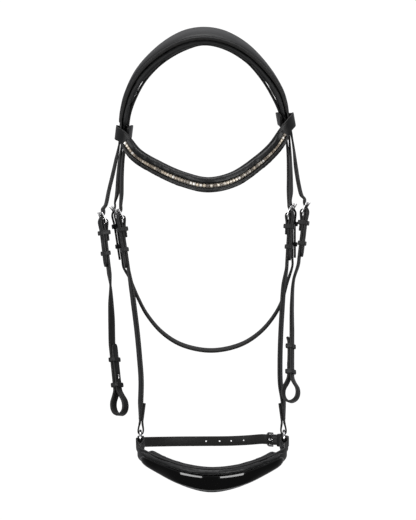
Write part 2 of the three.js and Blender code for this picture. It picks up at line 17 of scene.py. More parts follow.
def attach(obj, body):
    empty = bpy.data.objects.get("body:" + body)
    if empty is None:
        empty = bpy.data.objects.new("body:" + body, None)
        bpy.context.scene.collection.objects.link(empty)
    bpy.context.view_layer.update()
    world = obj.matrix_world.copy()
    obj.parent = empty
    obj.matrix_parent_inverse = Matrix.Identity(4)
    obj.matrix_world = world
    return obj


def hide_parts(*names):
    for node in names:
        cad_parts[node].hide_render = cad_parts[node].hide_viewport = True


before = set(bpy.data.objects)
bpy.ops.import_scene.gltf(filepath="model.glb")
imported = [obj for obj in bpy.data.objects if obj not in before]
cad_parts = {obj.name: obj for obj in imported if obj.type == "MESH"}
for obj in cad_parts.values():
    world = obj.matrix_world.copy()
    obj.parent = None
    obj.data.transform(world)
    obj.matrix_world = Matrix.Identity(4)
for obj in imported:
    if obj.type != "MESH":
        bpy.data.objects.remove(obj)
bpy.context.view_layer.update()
MM = 0.001
SIDES = ("off", "near")
MIDDLE = (0.005, 0, -0.2694)    # where the camera looks, in metres

# Leather sizes, as in the solids
STRAP_W, STRAP_T, BILLET_T, FOLD_T = 12.7, 2.8, 2.6, 2.0
BROWBAND_T, NOSEBAND_T = 2.2, 3.0
RING_R, RING_WIRE_R, RING_Z = 9.2, 1.5, -491.9
KEEPER_W, KEEPER_T = 5.5, 1.3
HOLE_SPACING = (17, 36)         # from a billet's tip

# Buckle sizes, as in the solids
BAR_R = 1.2
FRAME_INNER_W, FRAME_OUTER_W, FRAME_TOP, FRAME_RIM = 13.8, 18.8, 13.2, 2.8
FRAME_T, FRAME_TILT = 2.2, radians(18)
TONGUE_LEN, TONGUE_TILT = 15.0, radians(31)
SLOT_W = 3.1

# Detail that only the looks have
SAMPLES = 24                    # of a route, between two of its rows
ROLL_SIDES = 20
CLOTH_FRAMES = 20
CLOTH = {"quality": 6, "mass": 0.2, "tension_stiffness": 12, "compression_stiffness": 12,
         "bending_stiffness": 2.0, "use_pressure": True, "uniform_pressure_force": 4.0,
         "shrink_min": -0.012, "vertex_group_mass": "seam"}
CUT_CREASE = 40                 # degrees
STITCH_LEN, STITCH_R = 1.9, 0.3
STONE_PITCH = 3.95

FORE_AFT = (0, 1, 0)
UPRIGHT = (0, 0, 1)


# ---- vectors and places

def vec(*xyz):
    return np.array(xyz, float)


def unit(a):
    a = np.asarray(a, float)
    return a / norm(a)


def around(count):
    """Angles spaced evenly once round."""
    return np.linspace(0, 2 * pi, count + 1)[:-1]


def distances(points):
    """How far along the line of points each of them stands."""
    steps = norm(np.diff(points, axis=0), axis=1)
    return np.concatenate([[0], np.cumsum(steps)])


def read(table, s, at):
    """The table's rows, which stand at the distances s, read at other distances."""
    return np.array([np.interp(at, s, column) for column in table.T]).T


class Place:
    """A spot with its own x across the strap, y back along it and z outward."""

    def __init__(self, origin, along, outward):
        self.o = vec(*origin)
        self.y = unit(along)
        outward = vec(*outward)
        self.z = unit(outward - self.y * (outward @ self.y))
        self.x = np.cross(self.y, self.z)

    def at(self, x, y, z):
        return self.o + self.x * x + self.y * y + self.z * z

    def world(self, points):
        points = np.asarray(points, float)
        return self.o + points @ np.array([self.x, self.y, self.z])


OUT_OFF = (-0.94, -0.34, 0)
OUT_NEAR = (0.98, -0.2, 0)
SPOTS = {
    "cheek_off": Place((-124, -12, -221.9), (-6.6, 0, 55), OUT_OFF),
    "throat_off": Place((-110, 16.5, -213.2), (-9.2, 0, 58.8), (-1, -0.05, 0)),
    "nose_off": Place((-102, -4, -217.5), (-8, 0, 54.4), (-0.98, -0.2, 0)),
    "cheek_near": Place((123.6, -12, -209.4), (6.6, 0, 55), OUT_NEAR),
    "throat_near": Place((109.6, 16.5, -210.7), (0, 0, 1), (1, -0.03, 0)),
    "nose_near": Place((105.4, -4, -213.8), (3.4, 0, 58), (0.98, -0.2, 0)),
    "bit_off": Place((-105, -18, -450.2), (-6.6, 12, 58.8), (-0.87, 0.5, 0)),
    "bit_near": Place((107.4, -18, -433.8), (0.6, 12, 58), (0.93, -0.36, 0)),
    "chin": Place((87.5, 56, -499), (-0.8, 0.6, 0), (0.6, 0.8, 0)),
}
RING_AT = {"off": (-79.4, 0, RING_Z), "near": (99.8, 0, RING_Z)}
RING_OUT = {"off": (-1, 0, 0), "near": (1, 0, 0)}
RING_SPOTS = {}
for ring_side, lean in (("off", 0.04), ("near", -0.05)):
    for ring_strap, along in (("cheek", (lean, 0, 1)), ("nose", (0, -0.82, -0.57)),
                              ("chin", (0, 0.96, -0.28))):
        RING_SPOTS[f"{ring_strap}_{ring_side}"] = Place(
            RING_AT[ring_side], along, RING_OUT[ring_side])


# ---- strap routes

def row(p, w, t, b):
    return (vec(*p), float(w), float(t), vec(*b))


def across_of(spot, reference):
    return -spot.x if spot.x @ vec(*reference) < 0 else spot.x.copy()


def local_rows(spot, reference, table):
    across = across_of(spot, reference)
    return [row(spot.at(0, y, z), w, t, across) for y, z, w, t in table]


def chape(spot, reference, return_end=-24, straight=(-30, -56, -66)):
    """A strap's end turned back round a buckle's bar."""
    w = STRAP_W
    turn = [(return_end, -1.3), (-9, -1.35), (-3, -2.5), (0, -2.7), (1.95, -1.9), (2.7, 0),
            (1.95, 1.9), (0, 2.7), (-3, 2.5)]
    table = [(y, z, w, FOLD_T) for y, z in turn]
    table += [(y, 1.6, w, STRAP_T) for y in (-9, *straight)]
    return local_rows(spot, reference, table)


def billet(spot, reference, tip=-56):
    """A strap that comes down behind the frame's top, over the bar and along to its tip."""
    line = [(16, -0.4), (12.5, -0.1), (10.2, 0.4), (7.6, 1.8), (5, 3.35), (2.6, 4.85), (0, 5.6),
            (-3.5, 5.5), (-8, 4.95), (-13, 4.7), (tip + 7, 4.7), (tip, 4.7)]
    return local_rows(spot, reference, [(y, z, STRAP_W, BILLET_T) for y, z in line])


def ring_fold(spot, reference, width, back, end_t=STRAP_T, twist=None, bulk=3.1, mouth=9.0):
    """A strap's end turned back round a ring's wire."""
    def layer(k, t):
        straight = -1.7 if k < 0 else 1.6
        return [(back, straight, width, t), (19, straight, width, t),
                (15, k * (bulk - 0.7), mouth + 0.5, 2.2), (11, k * bulk, mouth, FOLD_T),
                (8.2, k * bulk, mouth, FOLD_T), (6.2, k * bulk * 0.8, 0.6 * mouth + 3, FOLD_T),
                (5.2, k * bulk * 0.4, 7.5, FOLD_T)]
    table = layer(-1, 2.4) + [(5, 0, 7, FOLD_T)] + layer(1, end_t)[::-1]
    rows = local_rows(spot, reference, table)
    if twist is not None:
        rows[0] = (*rows[0][:3], vec(*twist))
        rows[-1] = (*rows[-1][:3], vec(*twist))
    return rows


def bit_eye(spot, tip, half, lift):
    """The loop for the bit's ring, with the billet turned back up inside the cheekpiece."""
    w, t = STRAP_W, STRAP_T
    out = [(76, 1.7), (67, 1.7), (48, 1.7), (30, 1.7), (19, 2), (12.5, 4.6), (5, half * 0.96),
           (-3, half), (-8.8, half * 0.66), (-11.4, 0), (-8.8, -half * 0.66), (-3, -half),
           (5, -half * 0.96)]
    back = [(12.5, -4.6), (19, -1.9), (30, -1.5), (tip - 6, -1.5), (tip - 2, -1.5 - lift * 0.6),
            (tip, -1.5 - lift)]
    table = [(y, z, w, t) for y, z in out] + [(y, z, w, BILLET_T) for y, z in back]
    return local_rows(spot, FORE_AFT, table)


# ---- sampling a route

def thinned(p, stray, reach):
    """The samples that keep a path's chords within stray of the curve and no longer than reach."""
    keep = [0]
    for i in range(2, len(p)):
        a = p[keep[-1]]
        chord = p[i] - a
        length = max(norm(chord), 1e-9)
        off = norm(np.cross(p[keep[-1] + 1:i] - a, chord / length), axis=1).max()
        if off > stray or length > reach:
            keep.append(i - 1)
    return keep + [len(p) - 1]


class Path:
    """Close samples of the smooth curve through the rows: place, tangent, width and face."""

    def __init__(self, rows, stray=0.02, reach=5.0):
        points = [r[0] for r in rows]
        padded = [2 * points[0] - points[1], *points, 2 * points[-1] - points[-2]]
        samples = []
        for k, (here, there) in enumerate(zip(rows, rows[1:])):
            p0, p1, p2, p3 = padded[k:k + 4]
            d0, d1, d2 = [sqrt(norm(q)) for q in (p1 - p0, p2 - p1, p3 - p2)]
            t1 = ((p1 - p0) / d0 - (p2 - p0) / (d0 + d1) + (p2 - p1) / d1) * d1
            t2 = ((p2 - p1) / d1 - (p3 - p1) / (d1 + d2) + (p3 - p2) / d2) * d1
            c2, c3 = -3 * p1 + 3 * p2 - 2 * t1 - t2, 2 * p1 - 2 * p2 + t1 + t2
            last = k == len(rows) - 2
            for f in np.arange(SAMPLES + last) / SAMPLES:
                place = p1 + t1 * f + c2 * f ** 2 + c3 * f ** 3
                tangent = unit(t1 + 2 * c2 * f + 3 * c3 * f ** 2)
                others = [a * (1 - f) + b * f for a, b in zip(here[1:], there[1:])]
                samples.append((place, tangent, *others))
        p, tan, w, t, b = [np.array(column) for column in zip(*samples)]
        keep = thinned(p, stray, reach)
        self.set(p[keep], tan[keep], b[keep], w[keep], t[keep])

    @classmethod
    def of(cls, *samples):
        path = cls.__new__(cls)
        path.set(*samples)
        return path

    def set(self, p, tan, b, w, t):
        b = b - tan * (b * tan).sum(axis=1)[:, None]
        self.p, self.tan, self.w, self.t = p, tan, w, t
        self.b = b / norm(b, axis=1)[:, None]
        self.n = np.cross(tan, self.b)
        self.s = distances(p)

    def resample(self, s):
        """The same path, at the distances s along it."""
        s = np.clip(np.asarray(s, float), 0, self.s[-1])
        p, tan, b = [read(a, self.s, s) for a in (self.p, self.tan, self.b)]
        tan /= norm(tan, axis=1)[:, None]
        return Path.of(p, tan, b, np.interp(s, self.s, self.w), np.interp(s, self.s, self.t))

    def evenly(self, step):
        return self.resample(np.linspace(0, self.s[-1], max(3, round(self.s[-1] / step) + 1)))

    def where(self, mask):
        """The part of the path from the first to the last sample that the mask keeps."""
        return self.resample(self.s[mask])

    def ease_width(self, mask, reach=14.0):
        """Evens out the width's steps where the mask keeps."""
        before = self.w.copy()
        for i in np.where(mask)[0]:
            near = np.linspace(self.s[i] - reach, self.s[i] + reach, 15)
            self.w[i] = np.interp(near, self.s, before).mean()

    def flip_toward(self, facing):
        """+1 or -1 for each sample, so that n times it is on facing's side."""
        return np.sign(np.einsum("ij,ij->i", self.n, np.array([facing(q) for q in self.p])))

    def side_toward(self, facing):
        """The same for the whole path, read in its middle."""
        return self.flip_toward(facing)[len(self.p) // 2]


# ---- meshes

def link(obj):
    bpy.context.scene.collection.objects.link(obj)
    return obj


def make(name, verts, faces, material, attributes=None, smooth=True):
    mesh = bpy.data.meshes.new(name)
    mesh.from_pydata((np.asarray(verts, float) * MM).tolist(), [], faces)
    mesh.validate()
    for key, values in (attributes or {}).items():
        layer = mesh.attributes.new(key, "FLOAT", "POINT")
        layer.data.foreach_set("value", np.asarray(values, np.float32))
    mesh.materials.append(material)
    if smooth:
        mesh.shade_smooth()
    return link(bpy.data.objects.new(name, mesh))


def finish_mesh(obj, angle=35):
    """Faces outward, and creases sharp only where the surface turns by more than angle."""
    bm = bmesh.new()
    bm.from_mesh(obj.data)
    bmesh.ops.recalc_face_normals(bm, faces=bm.faces)
    limit = radians(angle)
    for f in bm.faces:
        f.smooth = True
    for e in bm.edges:
        e.smooth = len(e.link_faces) == 2 and e.calc_face_angle(0) < limit
    bm.to_mesh(obj.data)
    bm.free()
    return obj


def apply_modifiers(obj):
    depsgraph = bpy.context.evaluated_depsgraph_get()
    mesh = bpy.data.meshes.new_from_object(obj.evaluated_get(depsgraph), depsgraph=depsgraph)
    old = obj.data
    obj.modifiers.clear()
    obj.data = mesh
    bpy.data.meshes.remove(old)
    return obj


def boolean(obj, others, operation="DIFFERENCE"):
    for other in others:
        modifier = obj.modifiers.new("boolean", "BOOLEAN")
        modifier.operation = operation
        modifier.solver = "EXACT"
        modifier.object = other
    apply_modifiers(obj)
    for other in others:
        bpy.data.objects.remove(other)
    return obj


def corner(hw, ht, r, angles):
    """A section's rounded upper right corner."""
    return [(hw - r + r * cos(a), ht - r + r * sin(a), 1 - a / 3, 0) for a in angles]


def mirrored(right, crest, ht, grain):
    """A whole section out of the right half of its grain side, plain and flat beneath."""
    left = [(-x, y, e, i) for x, y, e, i in reversed(right)]
    low = [(-x, -y, e, 1) for x, y, e, _ in right[1:4]] + [(0, -ht, 0, 1)]
    low += [(x, -y, e, 1) for x, y, e, _ in reversed(right[1:4])]
    return [(x, y * grain, e, i) for x, y, e, i in [*right, (0, crest, 0, 0), *left, *low]]


def strap_section(w, t, grain, dome=0.0, crease=1.5, depth=0.22):
    """A leather strap's section: rounded edges and a crease line near each edge of its grain side.

    Gives (side, up, edge, inside) for each point. grain is +1 or -1, the side that the grain is on.
    """
    hw, ht = w / 2, t / 2
    line = hw - min(crease, 0.2 * w)
    right = corner(hw, ht, min(0.9, 0.4 * t), [radians(a) for a in (0, 30, 60, 90)])
    face = [(line + 0.5, 0, 0.4), (line, depth, 0.6), (line - 0.5, 0, 0.2), (0.45 * hw, 0, 0)]
    for x, drop, edge in face:
        right.append((x, ht + dome * (1 - (x / hw) ** 2) - drop, edge, 0))
    return mirrored(right, ht + dome, ht, grain)


def oval(a, b, sides=14, squareness=1.0):
    points = []
    for k in range(sides):
        c, s = cos(2 * pi * k / sides), sin(2 * pi * k / sides)
        points.append((a * copysign(abs(c) ** squareness, c),
                       b * copysign(abs(s) ** squareness, s)))
    return points


def oval_section(w, t, squareness, sides=ROLL_SIDES):
    return [(x, y, 0.0, 0.0) for x, y in oval(w / 2, t / 2, sides, squareness)]


def ring_faces(rings, m, closed=False):
    """Quads between neighbouring rings of m points, and a cap on each end of an open body."""
    faces = []
    for i in range(rings if closed else rings - 1):
        a, b = i * m, (i + 1) % rings * m
        faces += [(a + j, a + (j + 1) % m, b + (j + 1) % m, b + j) for j in range(m)]
    if not closed:
        faces += [tuple(range(m))[::-1], tuple(range((rings - 1) * m, rings * m))]
    return faces


def sweep(name, path, section, material, cap=0.45):
    """A closed body with the section (w, t, s) -> points along the path, with softened ends."""
    ends = [cap, path.s[-1] - cap] if cap else []
    path = path.resample(sorted({*path.s, *ends}))
    verts, marks = [], []
    for i, p in enumerate(path.p):
        shrink = 0.8 if cap and i in (0, len(path.p) - 1) else 0
        points = section(path.w[i] - shrink, path.t[i] - shrink, path.s[i])
        verts += [p + path.b[i] * x + path.n[i] * y for x, y, _, _ in points]
        marks += [point[2:] for point in points]
    edge, inside = zip(*marks)
    faces = ring_faces(len(path.p), len(points))
    return finish_mesh(make(name, verts, faces, material, {"edge": edge, "inside": inside}), 50)


def tipped(path, at_end=True):
    """Rounds the path's width off to a strap's point."""
    length, blunt = 9.0, 0.3
    end = path.s[-1]
    ds = np.concatenate([[0, 0.25, 0.7, 1.3], np.linspace(2.2, length, 8)])
    s = (end - ds) if at_end else ds
    others = path.s[path.s < end - length - 0.5] if at_end else path.s[path.s > length + 0.5]
    path = path.resample(sorted({*others, *s}))
    d = (path.s[-1] - path.s) if at_end else path.s
    k = np.clip(1 - d / length, 0, 1)
    path.w = path.w * (blunt + (1 - blunt) * np.sqrt(np.clip(1 - k ** 2.2, 0, 1)))
    return path


def leather_strap(name, path, grain, crease=1.5):
    return sweep(name, path, lambda w, t, s: strap_section(w, t, grain, 0.0, crease), LEATHER)


def rounded_ends(path, length):
    """Draws a roll's width and thickness in to a rounded end at both ends."""
    ds = length * np.array([0, 0.04, 0.12, 0.25, 0.42, 0.65, 1])
    end = path.s[-1]
    inner = path.s[(path.s > length + 0.5) & (path.s < end - length - 0.5)]
    path = path.resample(sorted([*inner, *ds, *(end - ds)]))
    d = np.minimum(path.s, path.s[-1] - path.s)
    k = np.clip(1 - d / length, 0, 1)
    scale = np.sqrt(np.clip(1 - k ** 2, 0.02, 1))
    path.w = path.w * scale
    path.t = path.t * scale
    return path


def stuffed_roll(name, path, squareness, material, ends):
    path = rounded_ends(path, ends)
    return sweep(name, path, lambda w, t, s: oval_section(w, t, squareness), material, cap=0)


def corners_of(mesh):
    co = np.empty(len(mesh.vertices) * 3)
    mesh.vertices.foreach_get("co", co)
    return co.reshape(-1, 3)


def stuff(obj, cap):
    """Fills a sewn cover: cloth blown up against its seams, moving at most cap."""
    scene = bpy.context.scene
    rest = corners_of(obj.data)
    last = len(rest) // ROLL_SIDES - 1
    seam = [i for i in range(len(rest)) if i % ROLL_SIDES in (0, ROLL_SIDES // 2)]
    seam += [i for i in range(len(rest)) if i // ROLL_SIDES in (0, 1, last - 1, last)]
    obj.vertex_groups.new(name="seam").add(seam, 1.0, "REPLACE")
    cloth = obj.modifiers.new("cloth", "CLOTH")
    for key, value in CLOTH.items():
        setattr(cloth.settings, key, value)
    cloth.settings.effector_weights.gravity = 0
    cloth.collision_settings.use_collision = False
    cloth.point_cache.frame_start, cloth.point_cache.frame_end = 1, CLOTH_FRAMES
    for step in range(1, CLOTH_FRAMES + 1):
        scene.frame_set(step)
    apply_modifiers(obj)
    move = corners_of(obj.data) - rest
    length = norm(move, axis=1)[:, None]
    move *= np.minimum(1, cap * MM / np.maximum(length, 1e-9))
    obj.data.vertices.foreach_set("co", (rest + move).ravel())
    obj.data.shade_smooth()
    scene.frame_set(1)


def ball(p, tangent, normal, length, r):
    """A small long bead, such as a stitch, lying along the tangent."""
    side = np.cross(tangent, normal)
    verts = [p - tangent * length / 2]
    for a in (pi / 4, 2 * pi / 4, 3 * pi / 4):
        centre = p - tangent * (length / 2 * cos(a))
        for j in range(6):
            b = 2 * pi * j / 6
            verts.append(centre + r * sin(a) ** 0.6 * (side * cos(b) + normal * sin(b)))
    verts.append(p + tangent * length / 2)
    faces = []
    for j in range(6):
        k = (j + 1) % 6
        faces.append((0, 1 + k, 1 + j))
        faces += [(a + j, a + k, a + 6 + k, a + 6 + j) for a in (1, 7)]
        faces.append((13 + j, 13 + k, 19))
    return verts, faces


class Batch:
    """Many small bodies gathered into one mesh."""

    def __init__(self):
        self.verts, self.faces, self.tone = [], [], []

    def add(self, verts, faces, tone=0.0):
        base = len(self.verts)
        self.verts += list(verts)
        self.faces += [tuple(base + i for i in f) for f in faces]
        self.tone += [tone] * len(verts)

    def make(self, name, material, smooth=True):
        return make(name, self.verts, self.faces, material, {"tone": self.tone}, smooth)


STITCHES = {}


def stitch_line(body, points, normals, pitch=2.7):
    """Lays stitches evenly along a line of points, on the surface that the normals leave."""
    points, normals = np.asarray(points), np.asarray(normals)
    s = distances(points)
    count = max(1, int((s[-1] - STITCH_LEN) / pitch))
    batch = STITCHES.setdefault(body, Batch())
    start = (s[-1] - (count - 1) * pitch) / 2
    for i in range(count):
        d = start + i * pitch
        ahead, behind = read(points, s, min(d + 0.5, s[-1])), read(points, s, max(d - 0.5, 0))
        tangent = unit(ahead - behind)
        normal = read(normals, s, d)
        normal = unit(normal - tangent * (normal @ tangent))
        batch.add(*ball(read(points, s, d) + normal * 0.03, tangent, normal, STITCH_LEN, STITCH_R))


def stitch_path(body, path, inset, faces, margin=2, pitch=2.7, edges=(-1, 1)):
    """Stitches inset from the path's edges, on its faces (+1, -1), but for a margin at each end."""
    s0, s1 = margin, path.s[-1] - margin
    run = path.resample(np.linspace(s0, s1, max(4, int((s1 - s0) / 1.5))))
    for k in edges:
        for face in faces:
            side, up = k * (run.w / 2 - inset), face * run.t / 2
            line = run.p + run.b * side[:, None] + run.n * up[:, None]
            stitch_line(body, line, run.n * face, pitch)


# ---- materials

class Nodes:
    """A short way to write a node tree, a new material's or its owner's."""

    def __init__(self, name, owner=None):
        self.material = owner or bpy.data.materials.new(name)
        self.material.use_nodes = True
        self.tree = self.material.node_tree
        self.bsdf = self.tree.nodes.get("Principled BSDF")
        self.coordinates = self.node("ShaderNodeTexCoord").outputs
        self.where = self.coordinates["Object"]

    def node(self, kind, inputs=None, **settings):
        made = self.tree.nodes.new(kind)
        for key, value in settings.items():
            setattr(made, key, value)
        for key, value in (inputs or {}).items():
            self.set(made.inputs[key], value)
        return made

    def set(self, socket, value):
        if isinstance(value, bpy.types.NodeSocket):
            self.tree.links.new(value, socket)
        else:
            socket.default_value = value

    def shader(self, **values):
        for key, value in values.items():
            self.set(self.bsdf.inputs[key.replace("_", " ")], value)
        return self.material

    def noise(self, scale, detail=3.0, roughness=0.5, vector=None):
        inputs = {"Scale": scale, "Detail": detail, "Roughness": roughness}
        inputs["Vector"] = vector or self.where
        return self.node("ShaderNodeTexNoise", inputs).outputs["Fac"]

    def voronoi(self, scale, feature="F1"):
        inputs = {"Scale": scale, "Vector": self.where}
        return self.node("ShaderNodeTexVoronoi", inputs, feature=feature).outputs["Distance"]

    def stretch(self, x, y, z):
        inputs = {"Vector": self.where, "Scale": (x, y, z)}
        return self.node("ShaderNodeMapping", inputs).outputs["Vector"]

    def span(self, value, low, high, to_low=0.0, to_high=1.0, kind="LINEAR"):
        inputs = {"Value": value, "From Min": low, "From Max": high,
                  "To Min": to_low, "To Max": to_high}
        return self.node("ShaderNodeMapRange", inputs, interpolation_type=kind).outputs["Result"]

    def math(self, operation, a, b):
        return self.node("ShaderNodeMath", {0: a, 1: b}, operation=operation).outputs[0]

    def mix(self, factor, a, b):
        inputs = {"Factor": factor, 6: a, 7: b}
        return self.node("ShaderNodeMix", inputs, data_type="RGBA").outputs[2]

    def attribute(self, name):
        return self.node("ShaderNodeAttribute", attribute_name=name).outputs["Fac"]

    def bump(self, height, strength, distance, normal=None):
        inputs = {"Height": height, "Strength": strength, "Distance": distance}
        if normal is not None:
            inputs["Normal"] = normal
        return self.node("ShaderNodeBump", inputs).outputs["Normal"]


def grey(v, warm=0.0):
    return (v * (1 + warm), v, v * (1 - warm), 1.0)


def bridle_leather(name, dark, light, low_rough, high_rough, grain=1300.0, wrinkle=0.0, coat=0.15):
    """Dyed and waxed leather: pebbled grain and pores, uneven dye, rubbed edges, fibrous inside."""
    n = Nodes(name)
    edge, inside = n.attribute("edge"), n.attribute("inside")
    cells = n.voronoi(grain, "SMOOTH_F1")
    pores = n.span(n.voronoi(grain * 2.3), 0.05, 0.25)
    fibre = n.noise(2600.0, 5.0, 0.7, n.stretch(1, 1, 0.35))
    mottle = n.noise(38.0, 4.0, 0.6)
    rub = n.math("MULTIPLY", edge, n.span(n.noise(160.0, 3.0), 0.42, 0.7))
    colour = n.mix(n.span(mottle, 0.35, 0.7), grey(dark, -0.03), grey(light, -0.03))
    colour = n.mix(n.math("MULTIPLY", rub, 0.5), colour, grey(light * 2.2, 0.05))
    flesh = n.math("MULTIPLY", inside, n.span(fibre, 0.3, 0.8))
    colour = n.mix(flesh, colour, grey(light * 1.5, 0.08))
    rough = n.span(mottle, 0.3, 0.75, low_rough, high_rough)
    rough = n.math("ADD", rough, n.math("MULTIPLY", edge, 0.05))
    rough = n.math("ADD", rough, n.math("MULTIPLY", inside, 0.25))
    normal = n.bump(n.math("MULTIPLY", cells, pores), 0.3, 0.00016)
    normal = n.bump(fibre, 0.12, 0.0001, normal)
    if wrinkle:
        folds = n.noise(210.0, 2.0, 0.5, n.stretch(1.6, 0.5, 1))
        normal = n.bump(folds, wrinkle, 0.0006, normal)
    return n.shader(Base_Color=colour, Roughness=rough, Normal=normal, Coat_Weight=coat,
                    Coat_Roughness=0.32, Specular_IOR_Level=0.3)


def patent_leather():
    """Leather under a thick clear lacquer, with the faint waviness of its grain below."""
    n = Nodes("patent_leather")
    colour = n.mix(n.span(n.noise(25.0, 2.0), 0.3, 0.7), grey(0.0022), grey(0.0034))
    rough = n.span(n.noise(420.0, 4.0), 0.3, 0.8, 0.05, 0.11)
    normal = n.bump(n.noise(900.0, 2.0), 0.02, 0.0001)
    return n.shader(Base_Color=colour, Roughness=rough, Normal=normal, Coat_Weight=0.6,
                    Coat_Roughness=0.05, Specular_IOR_Level=0.5)


def polished_steel():
    """Tumbled and polished stainless steel, with hairline scratches and duller hollows."""
    n = Nodes("polished_steel")
    smear = n.noise(300.0, 4.0, 0.6)
    hair = n.noise(1800.0, 2.0, 0.6, n.stretch(0.15, 1, 1))
    colour = n.mix(n.span(smear, 0.3, 0.75), (0.62, 0.62, 0.63, 1), (0.8, 0.79, 0.78, 1))
    rough = n.span(smear, 0.25, 0.8, 0.1, 0.28)
    return n.shader(Base_Color=colour, Roughness=rough, Normal=n.bump(hair, 0.08, 0.00005),
                    Metallic=1.0)


def cut_crystal():
    """Foil-backed stones: bright silver and champagne ones with smoky ones between."""
    n = Nodes("cut_crystal")
    ramp = n.node("ShaderNodeValToRGB", {"Fac": n.attribute("tone")})
    stops = ramp.color_ramp
    stops.elements[0].color = (0.06, 0.045, 0.035, 1)
    stops.elements[1].color = (1.0, 0.97, 0.92, 1)
    for at, colour in ((0.3, (0.3, 0.23, 0.16, 1)), (0.65, (0.8, 0.68, 0.52, 1))):
        stops.elements.new(at).color = colour
    flaw = n.noise(900.0, 2.0)
    colour = n.mix(n.span(flaw, 0.35, 0.75, 0.0, 0.35), ramp.outputs["Color"], (1, 1, 1, 1))
    rough = n.span(flaw, 0.3, 0.8, 0.2, 0.36)
    return n.shader(Base_Color=colour, Roughness=rough, Metallic=0.1, Coat_Weight=0.05,
                    Coat_Roughness=0.1, Specular_IOR_Level=0.25)


def channel_metal():
    """The dull champagne metal of the cups that hold the stones."""
    n = Nodes("channel_metal")
    wear = n.noise(700.0, 3.0)
    colour = n.mix(n.span(wear, 0.3, 0.7), (0.2, 0.17, 0.13, 1), (0.36, 0.32, 0.26, 1))
    rough = n.span(wear, 0.3, 0.7, 0.42, 0.55)
    return n.shader(Base_Color=colour, Normal=n.bump(wear, 0.1, 0.00005), Metallic=0.8,
                    Roughness=rough)


def waxed_thread():
    n = Nodes("waxed_thread")
    twist = n.noise(3200.0, 2.0, 0.5, n.stretch(1, 1, 2.5))
    colour = n.mix(n.span(twist, 0.3, 0.7), grey(0.012), grey(0.05))
    rough = n.span(twist, 0.3, 0.7, 0.45, 0.65)
    return n.shader(Base_Color=colour, Normal=n.bump(twist, 0.4, 0.0001), Roughness=rough)


LEATHER = bridle_leather("bridle_leather", 0.0065, 0.011, 0.4, 0.54, coat=0.08)
PAD_LEATHER = bridle_leather("padded_leather", 0.007, 0.012, 0.36, 0.5, 1000.0, 0.12, 0.1)
LINING = bridle_leather("lining_leather", 0.011, 0.018, 0.5, 0.66, 900.0, 0.18, 0.0)
PATENT = patent_leather()
STEEL = polished_steel()
CRYSTAL = cut_crystal()
CHANNEL = channel_metal()
THREAD = waxed_thread()


def piece(obj, body, *nodes):
    """Rides a piece on its body, and it stands for the nodes, whose imported parts it hides."""
    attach(obj, body)
    if nodes:
        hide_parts(*nodes)
    return obj


def strap_piece(node, body, path, grain, cutters=(), crease=1.5, name=None):
    """A plain leather strap along the path, with the cutters' holes through it."""
    obj = leather_strap(f"{name or node}_leather", path, grain, crease)
    if cutters:
        finish_mesh(boolean(obj, cutters), CUT_CREASE)
    return piece(obj, body, node)


def padded_piece(obj, cap, body, node):
    """A sewn cover, filled and ridden on its body."""
    stuff(obj, cap)
    return piece(obj, body, node)


# ---- hardware

def tube(points, normals, section, closed=False):
    """Vertices and faces of a body along points; section(i) gives (side, up) pairs."""
    points = np.asarray(points, float)
    if closed:
        tangents = np.roll(points, -1, axis=0) - np.roll(points, 1, axis=0)
    else:
        tangents = np.gradient(points, axis=0)
    normals = np.broadcast_to(np.asarray(normals, float), points.shape)
    verts = []
    for i, p in enumerate(points):
        t = unit(tangents[i])
        n = unit(normals[i] - t * (normals[i] @ t))
        b = np.cross(t, n)
        verts += [p + b * x + n * y for x, y in section(i)]
    return verts, ring_faces(len(points), len(section(0)), closed)


def steel(name, angle, spot, *bodies):
    """A steel piece out of bodies, each its vertices and faces, in the spot's own frame."""
    batch = Batch()
    for verts, faces in bodies:
        batch.add(spot.world(verts) if spot else verts, faces)
    return finish_mesh(batch.make(name, STEEL), angle)


def turned(points, angle):
    """Turns points about the local x axis, y towards z."""
    points = np.asarray(points, float)
    c, s = cos(angle), sin(angle)
    return np.column_stack([points[:, 0], points[:, 1] * c - points[:, 2] * s,
                            points[:, 1] * s + points[:, 2] * c])


def buckle_frame(name, spot, corner_r):
    """A cast frame with softened edges, flat to the strap, on a round bar."""
    xm = (FRAME_OUTER_W + FRAME_INNER_W) / 4
    ym = FRAME_TOP - FRAME_RIM / 2
    r = corner_r - 1.0
    line = [(-xm, y, 0) for y in np.linspace(-0.9, ym - r, 7)]
    arc = np.linspace(pi, pi / 2, 9)[1:]
    line += [(-xm + r + r * cos(a), ym - r + r * sin(a), 0) for a in arc]
    line += [(-x, y, z) for x, y, z in reversed(line)]
    points = [line[0]]
    for p in line[1:]:
        if norm(np.subtract(p, points[-1])) > 0.3:
            points.append(p)
    wide, top = (FRAME_OUTER_W - FRAME_INNER_W) / 4, FRAME_RIM / 2

    def section(i):
        along = np.clip((points[i][1] - 3) / (ym - 3), 0, 1)
        thick = FRAME_T / 2 * (0.86 + 0.14 * along)
        end = 0.75 if i in (0, len(points) - 1) else 1.0
        return oval((wide + (top - wide) * along) * end, thick * end, 14, 0.72)

    verts, faces = tube(points, (0, 0, 1), section)
    bar = [(x, 0, 0) for x in np.linspace(-xm, xm, 15)]
    return steel(name, 50, spot, (turned(verts, FRAME_TILT), faces),
                 tube(bar, (0, 0, 1), lambda i: oval(BAR_R - 0.05, BAR_R - 0.05)))


